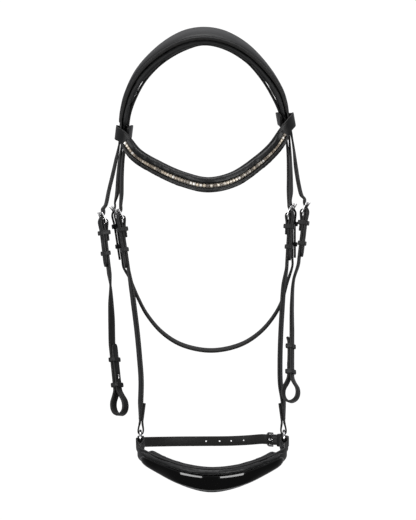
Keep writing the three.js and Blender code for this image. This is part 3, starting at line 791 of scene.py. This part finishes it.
def buckle_tongue(name, spot):
    """A tongue bent round the bar, tapering to the tip that lies on the frame."""
    eye = [(0, 1.95 * cos(a), 1.95 * sin(a)) for a in around(24)]
    tip = TONGUE_LEN
    ys = np.concatenate([[1.9, 2.6], np.linspace(3.4, tip - 0.9, 9), [tip - 0.3, tip - 0.02]])
    wide = np.interp(ys, [1.9, 3.4, 12, tip - 0.9, tip - 0.3, tip],
                     [0.9, 1.05, 0.85, 0.72, 0.5, 0.12])
    high = np.interp(ys, [1.9, 3.4, 8, 13, tip], [0.5, 1.0, 0.85, 0.6, 0.15])
    line = turned([(0, y, 0) for y in ys], TONGUE_TILT)
    normal = turned([(0, 0, 1)], TONGUE_TILT)[0]
    return steel(name, 50, spot,
                 tube(eye, (1, 0, 0), lambda i: oval(0.42, 1.05, 10, 0.8), closed=True),
                 tube(line, normal, lambda i: oval(wide[i], high[i], 12, 0.85)))


def keeper_band(name, spot, y, z_low, z_high):
    """A leather loop round the strap, creased near both edges."""
    half, r = STRAP_W / 2 + 0.45 + KEEPER_T / 2, 1.35
    low, high = z_low - KEEPER_T / 2, z_high + KEEPER_T / 2
    corners = [(half - r, low + r, -90), (half - r, high - r, 0), (-half + r, high - r, 90),
               (-half + r, low + r, 180)]
    at = lambda k, a: vec(corners[k][0] + r * cos(a), y, corners[k][1] + r * sin(a))
    loop = []
    for k, (_, _, start) in enumerate(corners):
        loop += [at(k, a) for a in np.radians(np.linspace(start, start + 90, 6))]
        following = (k + 1) % 4
        end = at(following, radians(corners[following][2]))
        for f in (0.25, 0.5, 0.5):
            loop.append(loop[-1] * (1 - f) + end * f)
    section = strap_section(KEEPER_W, KEEPER_T, 1, 0.12, 0.95, 0.16)
    outward = np.array(loop) - (0, y, (low + high) / 2)
    verts, faces = tube(loop, outward, lambda i: [point[:2] for point in section], closed=True)
    edge, inside = zip(*[point[2:] for point in section])
    marks = {"edge": edge * len(loop), "inside": inside * len(loop)}
    return finish_mesh(make(name, spot.world(verts), faces, LEATHER, marks), 50)


def hook_stud(name, spot, y):
    """A shank through the billet's hole, and a flat hook turned down over the leather."""
    line = [(0, 0, -0.7), (0, 0, -2.2), (0, -0.05, -3.1), (0, -0.5, -3.75), (0, -1.3, -4.0),
            (0, -2.4, -4.0), (0, -3.6, -3.95), (0, -4.6, -4.1), (0, -5.3, -4.4)]
    wide = [0.9, 0.9, 1.05, 1.3, 1.45, 1.5, 1.45, 1.2, 0.7]
    high = [0.9, 0.85, 0.75, 0.62, 0.55, 0.52, 0.5, 0.45, 0.3]
    line = np.array(line) + (0, y, 0)
    body = tube(line, (0, 0.7, -0.72), lambda i: oval(wide[i], high[i], 12, 0.8))
    return steel(name, 60, spot, body)


def wire_ring(name, centre):
    line = [vec(*centre) + (0, RING_R * cos(a), RING_R * sin(a)) for a in around(72)]
    body = tube(line, (1, 0, 0), lambda i: oval(RING_WIRE_R, RING_WIRE_R, 16), closed=True)
    return steel(name, 60, None, body)


def slot_cutter(spot, y0, y1, z0, z1):
    """A slot with round ends for a tongue, to cut through a strap."""
    r = SLOT_W / 2
    outline = [(r * cos(a), y1 - r + r * sin(a)) for a in np.linspace(0, pi, 9)]
    outline += [(r * cos(a), y0 + r + r * sin(a)) for a in np.linspace(pi, 2 * pi, 9)]
    return prism(spot, outline, z0, z1)


def prism(spot, outline, z0, z1):
    n = len(outline)
    verts = [(x, y, z0) for x, y in outline] + [(x, y, z1) for x, y in outline]
    faces = [tuple(range(n))[::-1], tuple(range(n, 2 * n))]
    faces += [(i, (i + 1) % n, n + (i + 1) % n, n + i) for i in range(n)]
    return finish_mesh(make("cutter", spot.world(verts), faces, LEATHER))


def hole_cutter(path, s, r=1.3):
    """A round punched hole through a strap, s along its path."""
    at = path.resample([max(s - 0.01, 0), s])
    spot = Place(at.p[1], at.tan[1], at.n[1])
    return prism(spot, [(r * cos(a), r * 1.12 * sin(a)) for a in around(16)], -4, 4)


def billet_slot(spot):
    return slot_cutter(spot, -4.2, 8.5, -2, 9)


def chape_notch(spot):
    return slot_cutter(spot, -4.2, 6, -6, 6)


# ---- the crown

HEADPIECE = [row(r[:3], r[3], r[4], r[5:]) for r in (
    (-104.6, 2.5, -97, 33, 3.4, -0.04, 1, 0), (-101.9, 2.5, -83, 34, 4, -0.02, 1, 0.02),
    (-95.6, 3, -61.5, 37, 4, 0, 1, 0.1), (-80.4, 2, -33, 42, 4, 0, 0.98, 0.2),
    (-52, -1, -5.8, 47, 4, 0, 0.96, 0.29), (-24.5, -3.4, 9, 49, 4, 0, 0.94, 0.34),
    (0, -4, 13, 50, 4, 0, 0.94, 0.34), (24.5, -3.4, 9, 49, 4, 0, 0.94, 0.34),
    (52.5, -1, -5.8, 47, 4, 0, 0.96, 0.29), (79.8, 2, -33, 42, 4, 0, 0.98, 0.2),
    (95.8, 3, -58, 37, 4, 0, 1, 0.1), (101.5, 2.5, -74, 34, 4, 0.02, 1, 0.02),
    (104.4, 2.5, -86, 33, 3.4, 0.04, 1, 0),
)]
TAILS = {
    "cheek_off": [
        (-103.1, -7, -89), (-103.8, -7.4, -103), (-105.2, -7.8, -122), (-109.2, -8.5, -143),
        (-113.6, -9.5, -163), (-118.4, -11, -183), (-122.3, -12, -201),
    ],
    "throat_off": [
        (-103.1, 12.2, -89), (-103, 12.4, -103), (-103.1, 13, -122), (-105.6, 13.6, -143),
        (-107.8, 14.8, -165), (-109.4, 16, -186),
    ],
    "cheek_near": [
        (103.1, -7, -78), (105.4, -7.4, -94), (108.8, -7.8, -112), (112, -8.4, -132),
        (114.6, -9.4, -155), (118.2, -11, -177), (121.4, -12, -189),
    ],
    "throat_near": [
        (103, 12.2, -78), (104.6, 12.4, -94), (106.8, 13, -112), (108.2, 13.6, -132),
        (109, 15, -158), (109.6, 16.3, -184),
    ],
}
TAIL_TURN = {"cheek_off": -0.3, "throat_off": -0.34, "cheek_near": 0.32, "throat_near": 0.3}
# Plain strap but where the row gives a width and thickness
HEADSTRAP = [
    (-103, -3, -188), (-102.7, -1, -163), (-101.1, 0.6, -141), (-97.8, 2.6, -122),
    (-95.8, 3, -108), (-92.6, 3, -86), (-85.4, 3, -66), (-72.4, 2, -43.4, 13.5, 2.8),
    (-49, 0.5, -20.4, 15, 3), (-22, -0.3, -4.6, 16, 3.2), (0, -0.5, 1.55, 16, 3.2),
    (26, -0.3, -4.4, 16, 3.2), (52.8, 0.5, -21.2, 15, 3), (73.2, 2, -44.2, 13.5, 2.8),
    (86.4, 3, -66), (92.6, 3, -79), (97.6, 3, -93), (101.9, 2.6, -112), (104.6, 0.4, -132),
    (106, -1, -157), (105.8, -3, -184),
]


def across_crown(turn, z):
    """Across a crown strap, which turns a little on its way down to its buckle."""
    k = np.clip((-z - 118) / 34, 0, 1)
    return vec(turn * k * k * (3 - 2 * k), 1, 0)


def beside(path, facing, forward, rise, w, t):
    """The path of a piece that lies along another: forward of its face, higher up its width."""
    side = path.flip_toward(facing)
    p = path.p + path.n * (side * forward)[:, None] + path.b * (rise * path.w)[:, None]
    return Path.of(p, path.tan, path.b, w * path.w, np.full(len(p), float(t)))


crown_path = Path(HEADPIECE)
crown_up = lambda p: vec(p[0], 0, p[2] + 160)
crown_side = crown_path.flip_toward(crown_up)[0]


def crown_section(w, t, s):
    """The crown swells over its foam in the middle and thins to a plain strap at its ends."""
    middle = sin(pi * np.clip(s / crown_path.s[-1], 0, 1)) ** 0.7
    dome = 0.3 + 4.2 * middle
    hw, ht = w / 2, t / 2
    foam = hw - 3.0
    right = corner(hw, ht, 1.1, (0, 0.5, 1.05, pi / 2))
    right += [(foam + 0.5, ht, 0.3, 0), (foam, ht - 0.35 * middle, 0.5, 0)]
    for x in (0.97, 0.9, 0.78, 0.6, 0.4, 0.2):
        right.append((foam * x, ht + dome * (1 - x ** 3.2) ** 0.75, 0, 0))
    return mirrored(right, ht + dome, ht, crown_side)


def headpiece():
    band = sweep("headpiece_leather", crown_path.evenly(3.0), crown_section, LEATHER)
    tails = []
    for name, points in TAILS.items():
        rows = [row(p, STRAP_W, BILLET_T, across_crown(TAIL_TURN[name], p[2])) for p in points]
        path = tipped(Path(rows + billet(SPOTS[name], FORE_AFT)))
        # The grain faces away from the horse, which is the same way as the spot's own z
        grain = np.sign(path.n[len(path.p) // 2] @ SPOTS[name].z)
        holes = [hole_cutter(path, path.s[-1] - d) for d in HOLE_SPACING]
        tail = leather_strap(f"tail_{name}", path, grain)
        tails.append(boolean(tail, [*holes, billet_slot(SPOTS[name])]))
    body = boolean(band, tails, "UNION")
    piece(finish_mesh(body, CUT_CREASE), "headstall", "headpiece")
    stitch_path("headstall", crown_path, 2.2, [crown_side], 14, 3.0)


headpiece()


def headstrap_rows():
    middle = []
    for x, y, z, *size in HEADSTRAP:
        lean = np.clip(1 - abs(x) / 90, 0, 1)
        across = across_crown(0.3 * np.sign(x), z) + vec(0, 0, 0.32 * lean)
        middle.append(row((x, y, z), *(size or (STRAP_W, STRAP_T)), across))
    off, near = SPOTS["nose_off"], SPOTS["nose_near"]
    return billet(off, FORE_AFT, -62)[::-1] + middle + billet(near, FORE_AFT)


headstrap_path = tipped(tipped(Path(headstrap_rows())), at_end=False)


def headpiece_pad():
    """A stuffed lining that fills the room between the headpiece and the headstrap below it."""
    ends = [row((-105.3, 2.5, -104), 31, 3, (-0.04, 1, 0)),
            row((106.1, 2.5, -93), 31, 3, (0.04, 1, 0))]
    path = beside(Path([ends[0], *HEADPIECE, ends[1]]), crown_up, 0, 0, 0.94, 0).evenly(3.0)
    room = np.array([norm(headstrap_path.p - p, axis=1).min() for p in path.p])
    reach = np.minimum(path.s, path.s[-1] - path.s)
    path.t = np.minimum(np.clip(room - 3.9, 5.5, 11), 5 + 0.25 * reach)
    path.w = path.w * np.interp(reach, [0, 14], [0.85, 1])
    side = path.flip_toward(crown_up)
    path.p = path.p - path.n * (side * (2.3 + path.t / 2))[:, None]
    pad = stuffed_roll("headpiece_pad_leather", path, 0.55, LINING, 7.0)
    padded_piece(pad, 2.0, "headstall", "headpiece_pad")


headpiece_pad()


def headstrap():
    path = headstrap_path
    cutters = [billet_slot(SPOTS["nose_off"]), billet_slot(SPOTS["nose_near"])]
    cutters += [hole_cutter(path, s) for s in HOLE_SPACING]
    cutters += [hole_cutter(path, path.s[-1] - s) for s in HOLE_SPACING]
    strap_piece("noseband_headstrap", "headstall", path, path.side_toward(crown_up), cutters,
                name="headstrap")


headstrap()


# ---- the browband

BROW = [
    (-101, -25, -117, 16), (-84, -34, -138.4, 17.5), (-56, -55, -157, 18.5),
    (-24, -72, -171.8, 18.8), (5, -80, -178.4, 18.8), (34.5, -72, -171.8, 18.8),
    (64.5, -55, -151.6, 18.5), (88.5, -34, -127.6, 17.5), (104, -25, -104.5, 16),
]
brow_rows = [row((x, y, z), w, BROWBAND_T, UPRIGHT) for x, y, z, w in BROW]
from_forehead = lambda p: vec(p[0] * 0.4, p[1], 0)


def brow_loop(k, x, z, lean, inner):
    table = [
        (x - k * (inner - 3.2), -20, z - 5), (x - k * (inner - 0.6), -12, z - 1),
        (x - k * inner, 0, z), (x - k * inner, 15, z + 1), (x - k * (inner - 2.8), 22, z + 1),
        (x - k * 1, 24, z + 1), (x + k * 5.8, 22, z + 1), (x + k * 8.1, 15, z + 1),
        (x + k * 8.1, 0, z), (x + k * 6.8, -13, z - 3)]
    return [row(p, 16.5, BROWBAND_T, (-k * lean, 0, 1)) for p in table]


brow_ends = [brow_loop(-1, -101.6, -109, 0.12, 10.6), brow_loop(1, 104.2, -93, 0.18, 11.8)[::-1]]
brow_path = Path(brow_ends[0] + brow_rows + brow_ends[1])
brow_front = brow_path.where(brow_path.p[:, 1] < -28)


def brow_trim(node, w, t, forward, rise):
    path = beside(brow_front, from_forehead, forward, rise, w, t).evenly(1.6)
    roll = stuffed_roll(f"{node}_leather", path, 0.8, PAD_LEATHER, 5.0)
    padded_piece(roll, 0.7, "browband", node)


def browband():
    strap_piece("browband", "browband", brow_path, brow_path.side_toward(from_forehead), crease=1.2)
    side = brow_front.side_toward(from_forehead)
    stitch_path("browband", brow_front, 1.0, (side, -side))


def stone(size, height, turn):
    """A square cushion-cut stone: girdle, two rings of crown facets and a table."""
    verts = []
    for r, z, shift in ((1.0, -0.5, 0), (1.0, 0, 0), (0.82, 0.45, 0.5), (0.56, 0.9, 0)):
        for k in range(8):
            a = 2 * pi * (k + 0.5 + shift) / 8 + turn
            square = max(abs(cos(a)), abs(sin(a)))
            q = size / 2 * r / (0.62 * square + 0.38)
            verts.append((q * cos(a), q * sin(a), z * height))
    faces = [tuple(range(8))[::-1], tuple(range(24, 32))]
    for i in range(8):
        j = (i + 1) % 8
        faces.append((i, j, 8 + j, 8 + i))
        faces += [(8 + i, 8 + j, 16 + i), (8 + j, 16 + j, 16 + i)]
        faces += [(16 + i, 16 + j, 24 + j), (16 + i, 24 + j, 24 + i)]
    return np.array(verts), faces


def cup(size, height):
    """The square metal cup that holds a stone."""
    o, i = size / 2, size / 2 - 0.28
    verts = []
    for r, z in ((o, -height), (o, 0), (i, 0), (i, -height)):
        verts += [(r, r, z), (-r, r, z), (-r, -r, z), (r, -r, z)]
    return np.array(verts), ring_faces(4, 4, closed=True)


def crystals():
    """A row of stones in a chain of cups, each a little off true, with a claw at each corner."""
    random.seed(7)
    path = beside(brow_front, from_forehead, 0, -0.07, 0.22, 2.4)
    side = path.side_toward(from_forehead)
    count = int((path.s[-1] - 6) / STONE_PITCH)
    run = path.resample(np.linspace(3, path.s[-1] - 3, count))
    stones, cups = Batch(), Batch()
    for i in range(count):
        out = run.n[i] * side
        spot = Place(run.p[i] + out * 2.95, run.b[i], out)
        tilt = random.uniform(-0.09, 0.09), random.uniform(-0.09, 0.09)
        v, f = stone(3.75, 1.5, random.uniform(-0.05, 0.05))
        v[:, 2] += v[:, 0] * tilt[0] + v[:, 1] * tilt[1]
        tone = random.choice((0.98, 0.8, 0.7, 0.62, 0.35, 0.12)) + random.uniform(-0.05, 0.02)
        stones.add(spot.world(v), f, tone)
        v, f = cup(STONE_PITCH, 1.25)
        cups.add(spot.world(v + (0, 0, 0.15)), f)
        for cx, cy in ((-1, -1), (-1, 1), (1, -1), (1, 1)):
            cups.add(*ball(spot.at(cx * 1.72, cy * 1.72, 0.35), spot.z, spot.x, 1.1, 0.3))
    piece(stones.make("crystal_stones", CRYSTAL, smooth=False), "browband", "browband_crystals")
    piece(finish_mesh(cups.make("crystal_cups", CHANNEL), 40), "browband")


browband()
brow_trim("browband_upper_roll", 0.39, 5, 4.1, 0.27)
brow_trim("browband_lower_roll", 0.25, 3.8, 3.6, -0.35)
crystals()


# ---- cheekpieces and throatlatch

def fold_stitches(spot, y0=-22, y1=-8.5):
    """Two rows of stitches through a folded end, on both sides of it."""
    ys = np.linspace(y0, y1, 12)
    for x in (-4.75, 4.75):
        stitch_line("headstall", [spot.at(x, y, 3.0) for y in ys], [spot.z] * 12)
        stitch_line("headstall", [spot.at(x, y, -2.3) for y in ys], [-spot.z] * 12)


def cheekpiece(side, route, eye):
    spot, bit = SPOTS[f"cheek_{side}"], SPOTS[f"bit_{side}"]
    rows = chape(spot, FORE_AFT)
    rows += [row((x, y, z), STRAP_W, STRAP_T, (turn, 1, 0)) for x, y, z, turn in route]
    path = tipped(Path(rows + bit_eye(bit, *eye)))
    grain = np.sign(path.n[len(path.p) // 3] @ spot.z)
    stud_slot = prism(bit, [(1.95, 36.4), (1.95, 40.8), (-1.95, 40.8), (-1.95, 36.4)], -4, -0.1)
    strap_piece(f"cheekpiece_{side}", "headstall", path, grain, [chape_notch(spot), stud_slot])
    fold_stitches(spot)


cheekpiece("off", [(-116.3, -11, -303, 0), (-116, -9, -322, 0.35), (-115.3, -6, -344, 0.57)],
           (78, 8.4, 0.6))
cheekpiece("near", [(111.6, -11, -294, 0.15), (109.6, -7, -325, 0.3)], (70, 9.4, 2.6))


def throatlatch():
    route = [
        (-94.4, 17.5, -290), (-89, 18, -303.5), (-82, 18.5, -319.5), (-72, 19, -338),
        (-53, 20, -360.4), (-28, 21, -376.2), (8.8, 21.5, -383.4), (45.5, 21, -376.2),
        (70.5, 20, -360.4), (89, 19, -338.5), (98.6, 18.5, -319.5), (104.6, 18, -298)]
    off, near = SPOTS["throat_off"], SPOTS["throat_near"]
    rows = chape(off, FORE_AFT) + [row(p, STRAP_W, STRAP_T, (0, 0.96, 0.27)) for p in route]
    path = Path(rows + chape(near, FORE_AFT)[::-1])
    grain = np.sign(path.n[np.argmin(abs(path.s - 60))] @ off.z)
    strap_piece("throatlatch", "headstall", path, grain, [chape_notch(off), chape_notch(near)])
    fold_stitches(off)
    fold_stitches(near)


throatlatch()


# ---- the noseband

NOSE_CHEEKS = {
    "off": ([(-90.6, -3, -303), (-87, -2, -331), (-83.6, -1, -359), (-80.6, 0, -391),
             (-78.6, 0, -420)], (-0.42, 0.91, 0)),
    "near": ([(99.8, -3, -300), (97.6, -2, -331), (95.8, -1, -365), (95, 0, -400),
              (95.6, 0, -425)], (0.38, 0.92, 0)),
}


def noseband_cheek(side):
    route, twist = NOSE_CHEEKS[side]
    spot, ring_spot = SPOTS[f"nose_{side}"], RING_SPOTS[f"cheek_{side}"]
    fold = ring_fold(ring_spot, FORE_AFT, STRAP_W, 44, twist=twist)[::-1]
    rows = chape(spot, FORE_AFT) + [row(p, STRAP_W, STRAP_T, twist) for p in route] + fold
    path = Path(rows)
    grain = np.sign(path.n[len(path.p) // 3] @ spot.z)
    strap_piece(f"noseband_cheek_{side}", "headstall", path, grain, [chape_notch(spot)])
    fold_stitches(spot)
    fold_stitches(ring_spot, 22, 42)


for nose_side in SIDES:
    noseband_cheek(nose_side)

NOSE_LEAN = (0, -0.36, 0.93)
NOSE = [
    (-75, -36, -510.5, 18), (-52, -58, -520.5, 22.5), (-23, -82, -530, 29), (8.5, -91, -534.6, 33),
    (41.5, -82, -531, 29), (72.5, -58, -521.5, 22.5), (95, -36, -511.5, 18),
]
nose_rows = [row((x, y, z), w, NOSEBAND_T, NOSE_LEAN) for x, y, z, w in NOSE]
nose_folds = [ring_fold(RING_SPOTS[f"nose_{side}"], UPRIGHT, 16, 26, NOSEBAND_T, None, 4.4, 14.5)
              for side in SIDES]
nose_path = Path(nose_folds[0] + nose_rows + nose_folds[1][::-1], stray=0.003, reach=2.0)
nose_path.ease_width(nose_path.p[:, 1] < -50)
nose_front = nose_path.where(nose_path.p[:, 1] < -37.5)
from_nose = lambda p: vec(p[0] - 9, p[1], 0)
nose_side_sign = nose_front.side_toward(from_nose)


def noseband_backing():
    strap_piece("noseband_backing", "noseband_front", nose_path, nose_side_sign, crease=1.3,
                name="noseband")
    stitch_path("noseband_front", nose_front, 1.5, [nose_side_sign], edges=(-1,))


def nose_layer(name, material, forward, rise, w, t, squareness, node, cap):
    path = beside(nose_front, from_nose, forward, rise, w, t).evenly(2.5)
    roll = stuffed_roll(name, path, squareness, material, 9.0)
    padded_piece(roll, cap, "noseband_front", node)


def patent_panel():
    """Lacquered leather drawn over a low bulge, its lower edge standing further forward."""
    path = rounded_ends(beside(nose_front, from_nose, 4.9, -0.045, 0.63, 6).evenly(1.5), 14)
    lean = radians(11) * nose_side_sign
    c, d = cos(lean), sin(lean)

    def section(w, t, s):
        return [(x * c + y * d, y * c - x * d, e, k) for x, y, e, k in oval_section(w, t, 0.95, 28)]

    panel = sweep("noseband_patent_panel", path, section, PATENT, cap=0)
    piece(panel, "noseband_front", "noseband_patent")


noseband_backing()
nose_layer("noseband_lining_pad", LINING, -5.6, 0, 0.94, 7, 0.6, "noseband_padding", 2.2)
nose_layer("noseband_roll_leather", PAD_LEATHER, 4.5, 0.375, 0.2, 5, 0.8,
           "noseband_roll", 0.7)
patent_panel()


def chin_strap():
    start = ring_fold(RING_SPOTS["chin_off"], UPRIGHT, STRAP_W, 26)
    middle = [(-75, 40, -500.5), (-60, 60, -502), (-31, 76, -503), (2, 83, -503.4), (34, 82, -503),
              (56, 76, -501.4)]
    rows = start + [row(p, STRAP_W, BILLET_T, UPRIGHT) for p in middle]
    path = tipped(Path(rows + billet(SPOTS["chin"], UPRIGHT, -21)))
    grain = np.sign(path.n[np.argmin(abs(path.p[:, 0] - 2))] @ vec(0, 1, 0))
    outer = path.p[:, 1] > 50
    holes = [hole_cutter(path, np.interp(x, path.p[outer, 0], path.s[outer]), 1.0)
             for x in (2.5, 20, 35, 51)]
    strap_piece("chin_strap", "chin", path, grain, [billet_slot(SPOTS["chin"]), *holes])


def chin_chape():
    bend = row((106.2, 34.5, -499.4), STRAP_W, STRAP_T, UPRIGHT)
    fold = ring_fold(RING_SPOTS["chin_near"], UPRIGHT, STRAP_W, 22)[::-1]
    path = Path([*chape(SPOTS["chin"], UPRIGHT, -16, (-15, -21)), bend, *fold])
    grain = np.sign(path.n[len(path.p) // 2] @ vec(0.8, 0.6, 0))
    strap_piece("chin_chape", "chin", path, grain, [chape_notch(SPOTS["chin"])])


chin_strap()
chin_chape()

# ---- buckles, keepers, studs, rings

def buckle(name, corner_r):
    spot = SPOTS[name]
    parts = {"frame": buckle_frame(f"{name}_frame_steel", spot, corner_r),
             "tongue": buckle_tongue(f"{name}_tongue_steel", spot)}
    for part, obj in parts.items():
        piece(obj, f"{name}_{part}", f"{name}_buckle_{part}")
    return spot


def keeper(name, spot, y, z_low, z_high, body, node):
    piece(keeper_band(f"{name}_leather", spot, y, z_low, z_high), body, node)


for name in [f"{strap}_{side}" for strap in ("cheek", "throat", "nose") for side in SIDES]:
    spot = buckle(name, 3.6)
    keeper(f"{name}_fixed_keeper", spot, -13.5, -3.2, 7, "headstall", f"{name}_fixed_keeper")
    keeper(f"{name}_runner", spot, -39, -0.2, 6.4, f"{name}_runner", f"{name}_runner_keeper")

keeper("chin_keeper", buckle("chin", 6.5), -12, -3.2, 7, "chin", "chin_keeper")

for side in SIDES:
    name, spot = f"bit_{side}", SPOTS[f"bit_{side}"]
    keeper(f"{name}_upper_keeper", spot, 58, -3.2, 3.5, f"{name}_runner", f"{name}_upper_keeper")
    keeper(f"{name}_lower_keeper", spot, 26, -3.6, 3.9, "headstall", f"{name}_lower_keeper")
    piece(hook_stud(f"{name}_hook_stud_steel", spot, 38.6), "headstall", f"{name}_hook_stud")
    ring = f"noseband_ring_{side}"
    piece(wire_ring(f"{ring}_steel", RING_AT[side]), f"ring_{side}", ring)

for body, batch in STITCHES.items():
    piece(batch.make(f"{body}_stitches", THREAD), body)


# ---- floor, light and camera

def floor():
    bm = bmesh.new()
    bmesh.ops.create_circle(bm, cap_ends=True, segments=96, radius=0.45)
    mesh = bpy.data.meshes.new("floor")
    bm.to_mesh(mesh)
    bm.free()
    n = Nodes("floor_paper")
    tone = n.span(n.noise(6.0, 3.0), 0.3, 0.7)
    mesh.materials.append(n.shader(Base_Color=n.mix(tone, grey(0.78), grey(0.82)), Roughness=0.9))
    obj = link(bpy.data.objects.new("floor", mesh))
    obj.location = (MIDDLE[0], 0.24, -0.93)


def softbox(name, at, aim, width, height, power):
    light = bpy.data.lights.new(name, "AREA")
    light.shape = "RECTANGLE"
    light.size, light.size_y = width, height
    light.energy = power
    obj = link(bpy.data.objects.new(name, light))
    obj.location = at
    obj.rotation_euler = (Vector(aim) - Vector(at)).to_track_quat("-Z", "Y").to_euler()


def surroundings():
    """A white studio whose light comes from above and behind, with little from the front."""
    scene = bpy.context.scene
    scene.world = bpy.data.worlds.new("studio")
    n = Nodes("studio", scene.world)
    sky = n.node("ShaderNodeSeparateXYZ", {"Vector": n.coordinates["Generated"]}).outputs
    behind = n.span(sky["Y"], -0.2, 0.9, 0.0, 0.35, "SMOOTHSTEP")
    above = n.span(sky["Z"], 0.25, 1.0, 0.0, 0.75, "SMOOTHSTEP")
    strength = n.math("ADD", n.math("ADD", behind, above), 0.05)
    fill = n.node("ShaderNodeBackground", {"Color": (0.97, 0.97, 1, 1), "Strength": strength})
    seen = n.node("ShaderNodeBackground", {"Color": (1, 1, 1, 1), "Strength": 1.05})
    to_camera = n.node("ShaderNodeLightPath").outputs["Is Camera Ray"]
    mix = n.node("ShaderNodeMixShader", {0: to_camera, 1: fill.outputs[0], 2: seen.outputs[0]})
    n.set(n.tree.nodes["World Output"].inputs["Surface"], mix.outputs[0])
    scene.view_settings.view_transform = "Standard"


floor()
surroundings()
softbox("top_light", (0, -0.35, 1.15), (0, 0, -0.15), 1.0, 0.7, 10.5)
for side, x in (("left", -1.3), ("right", 1.3)):
    softbox(f"{side}_light", (x, -1.6, -0.12), (0, 0, -0.35), 1.4, 0.72, 20)

CAMERA_AWAY, SEEN_WIDTH, SENSOR = 2.5, 0.65, 36
camera = link(bpy.data.objects.new("camera", bpy.data.cameras.new("camera")))
camera.location = (MIDDLE[0], -CAMERA_AWAY, MIDDLE[2])
camera.rotation_euler = (pi / 2, 0, 0)
camera.data.sensor_width = SENSOR
camera.data.lens = SENSOR * CAMERA_AWAY / SEEN_WIDTH
bpy.context.scene.camera = camera
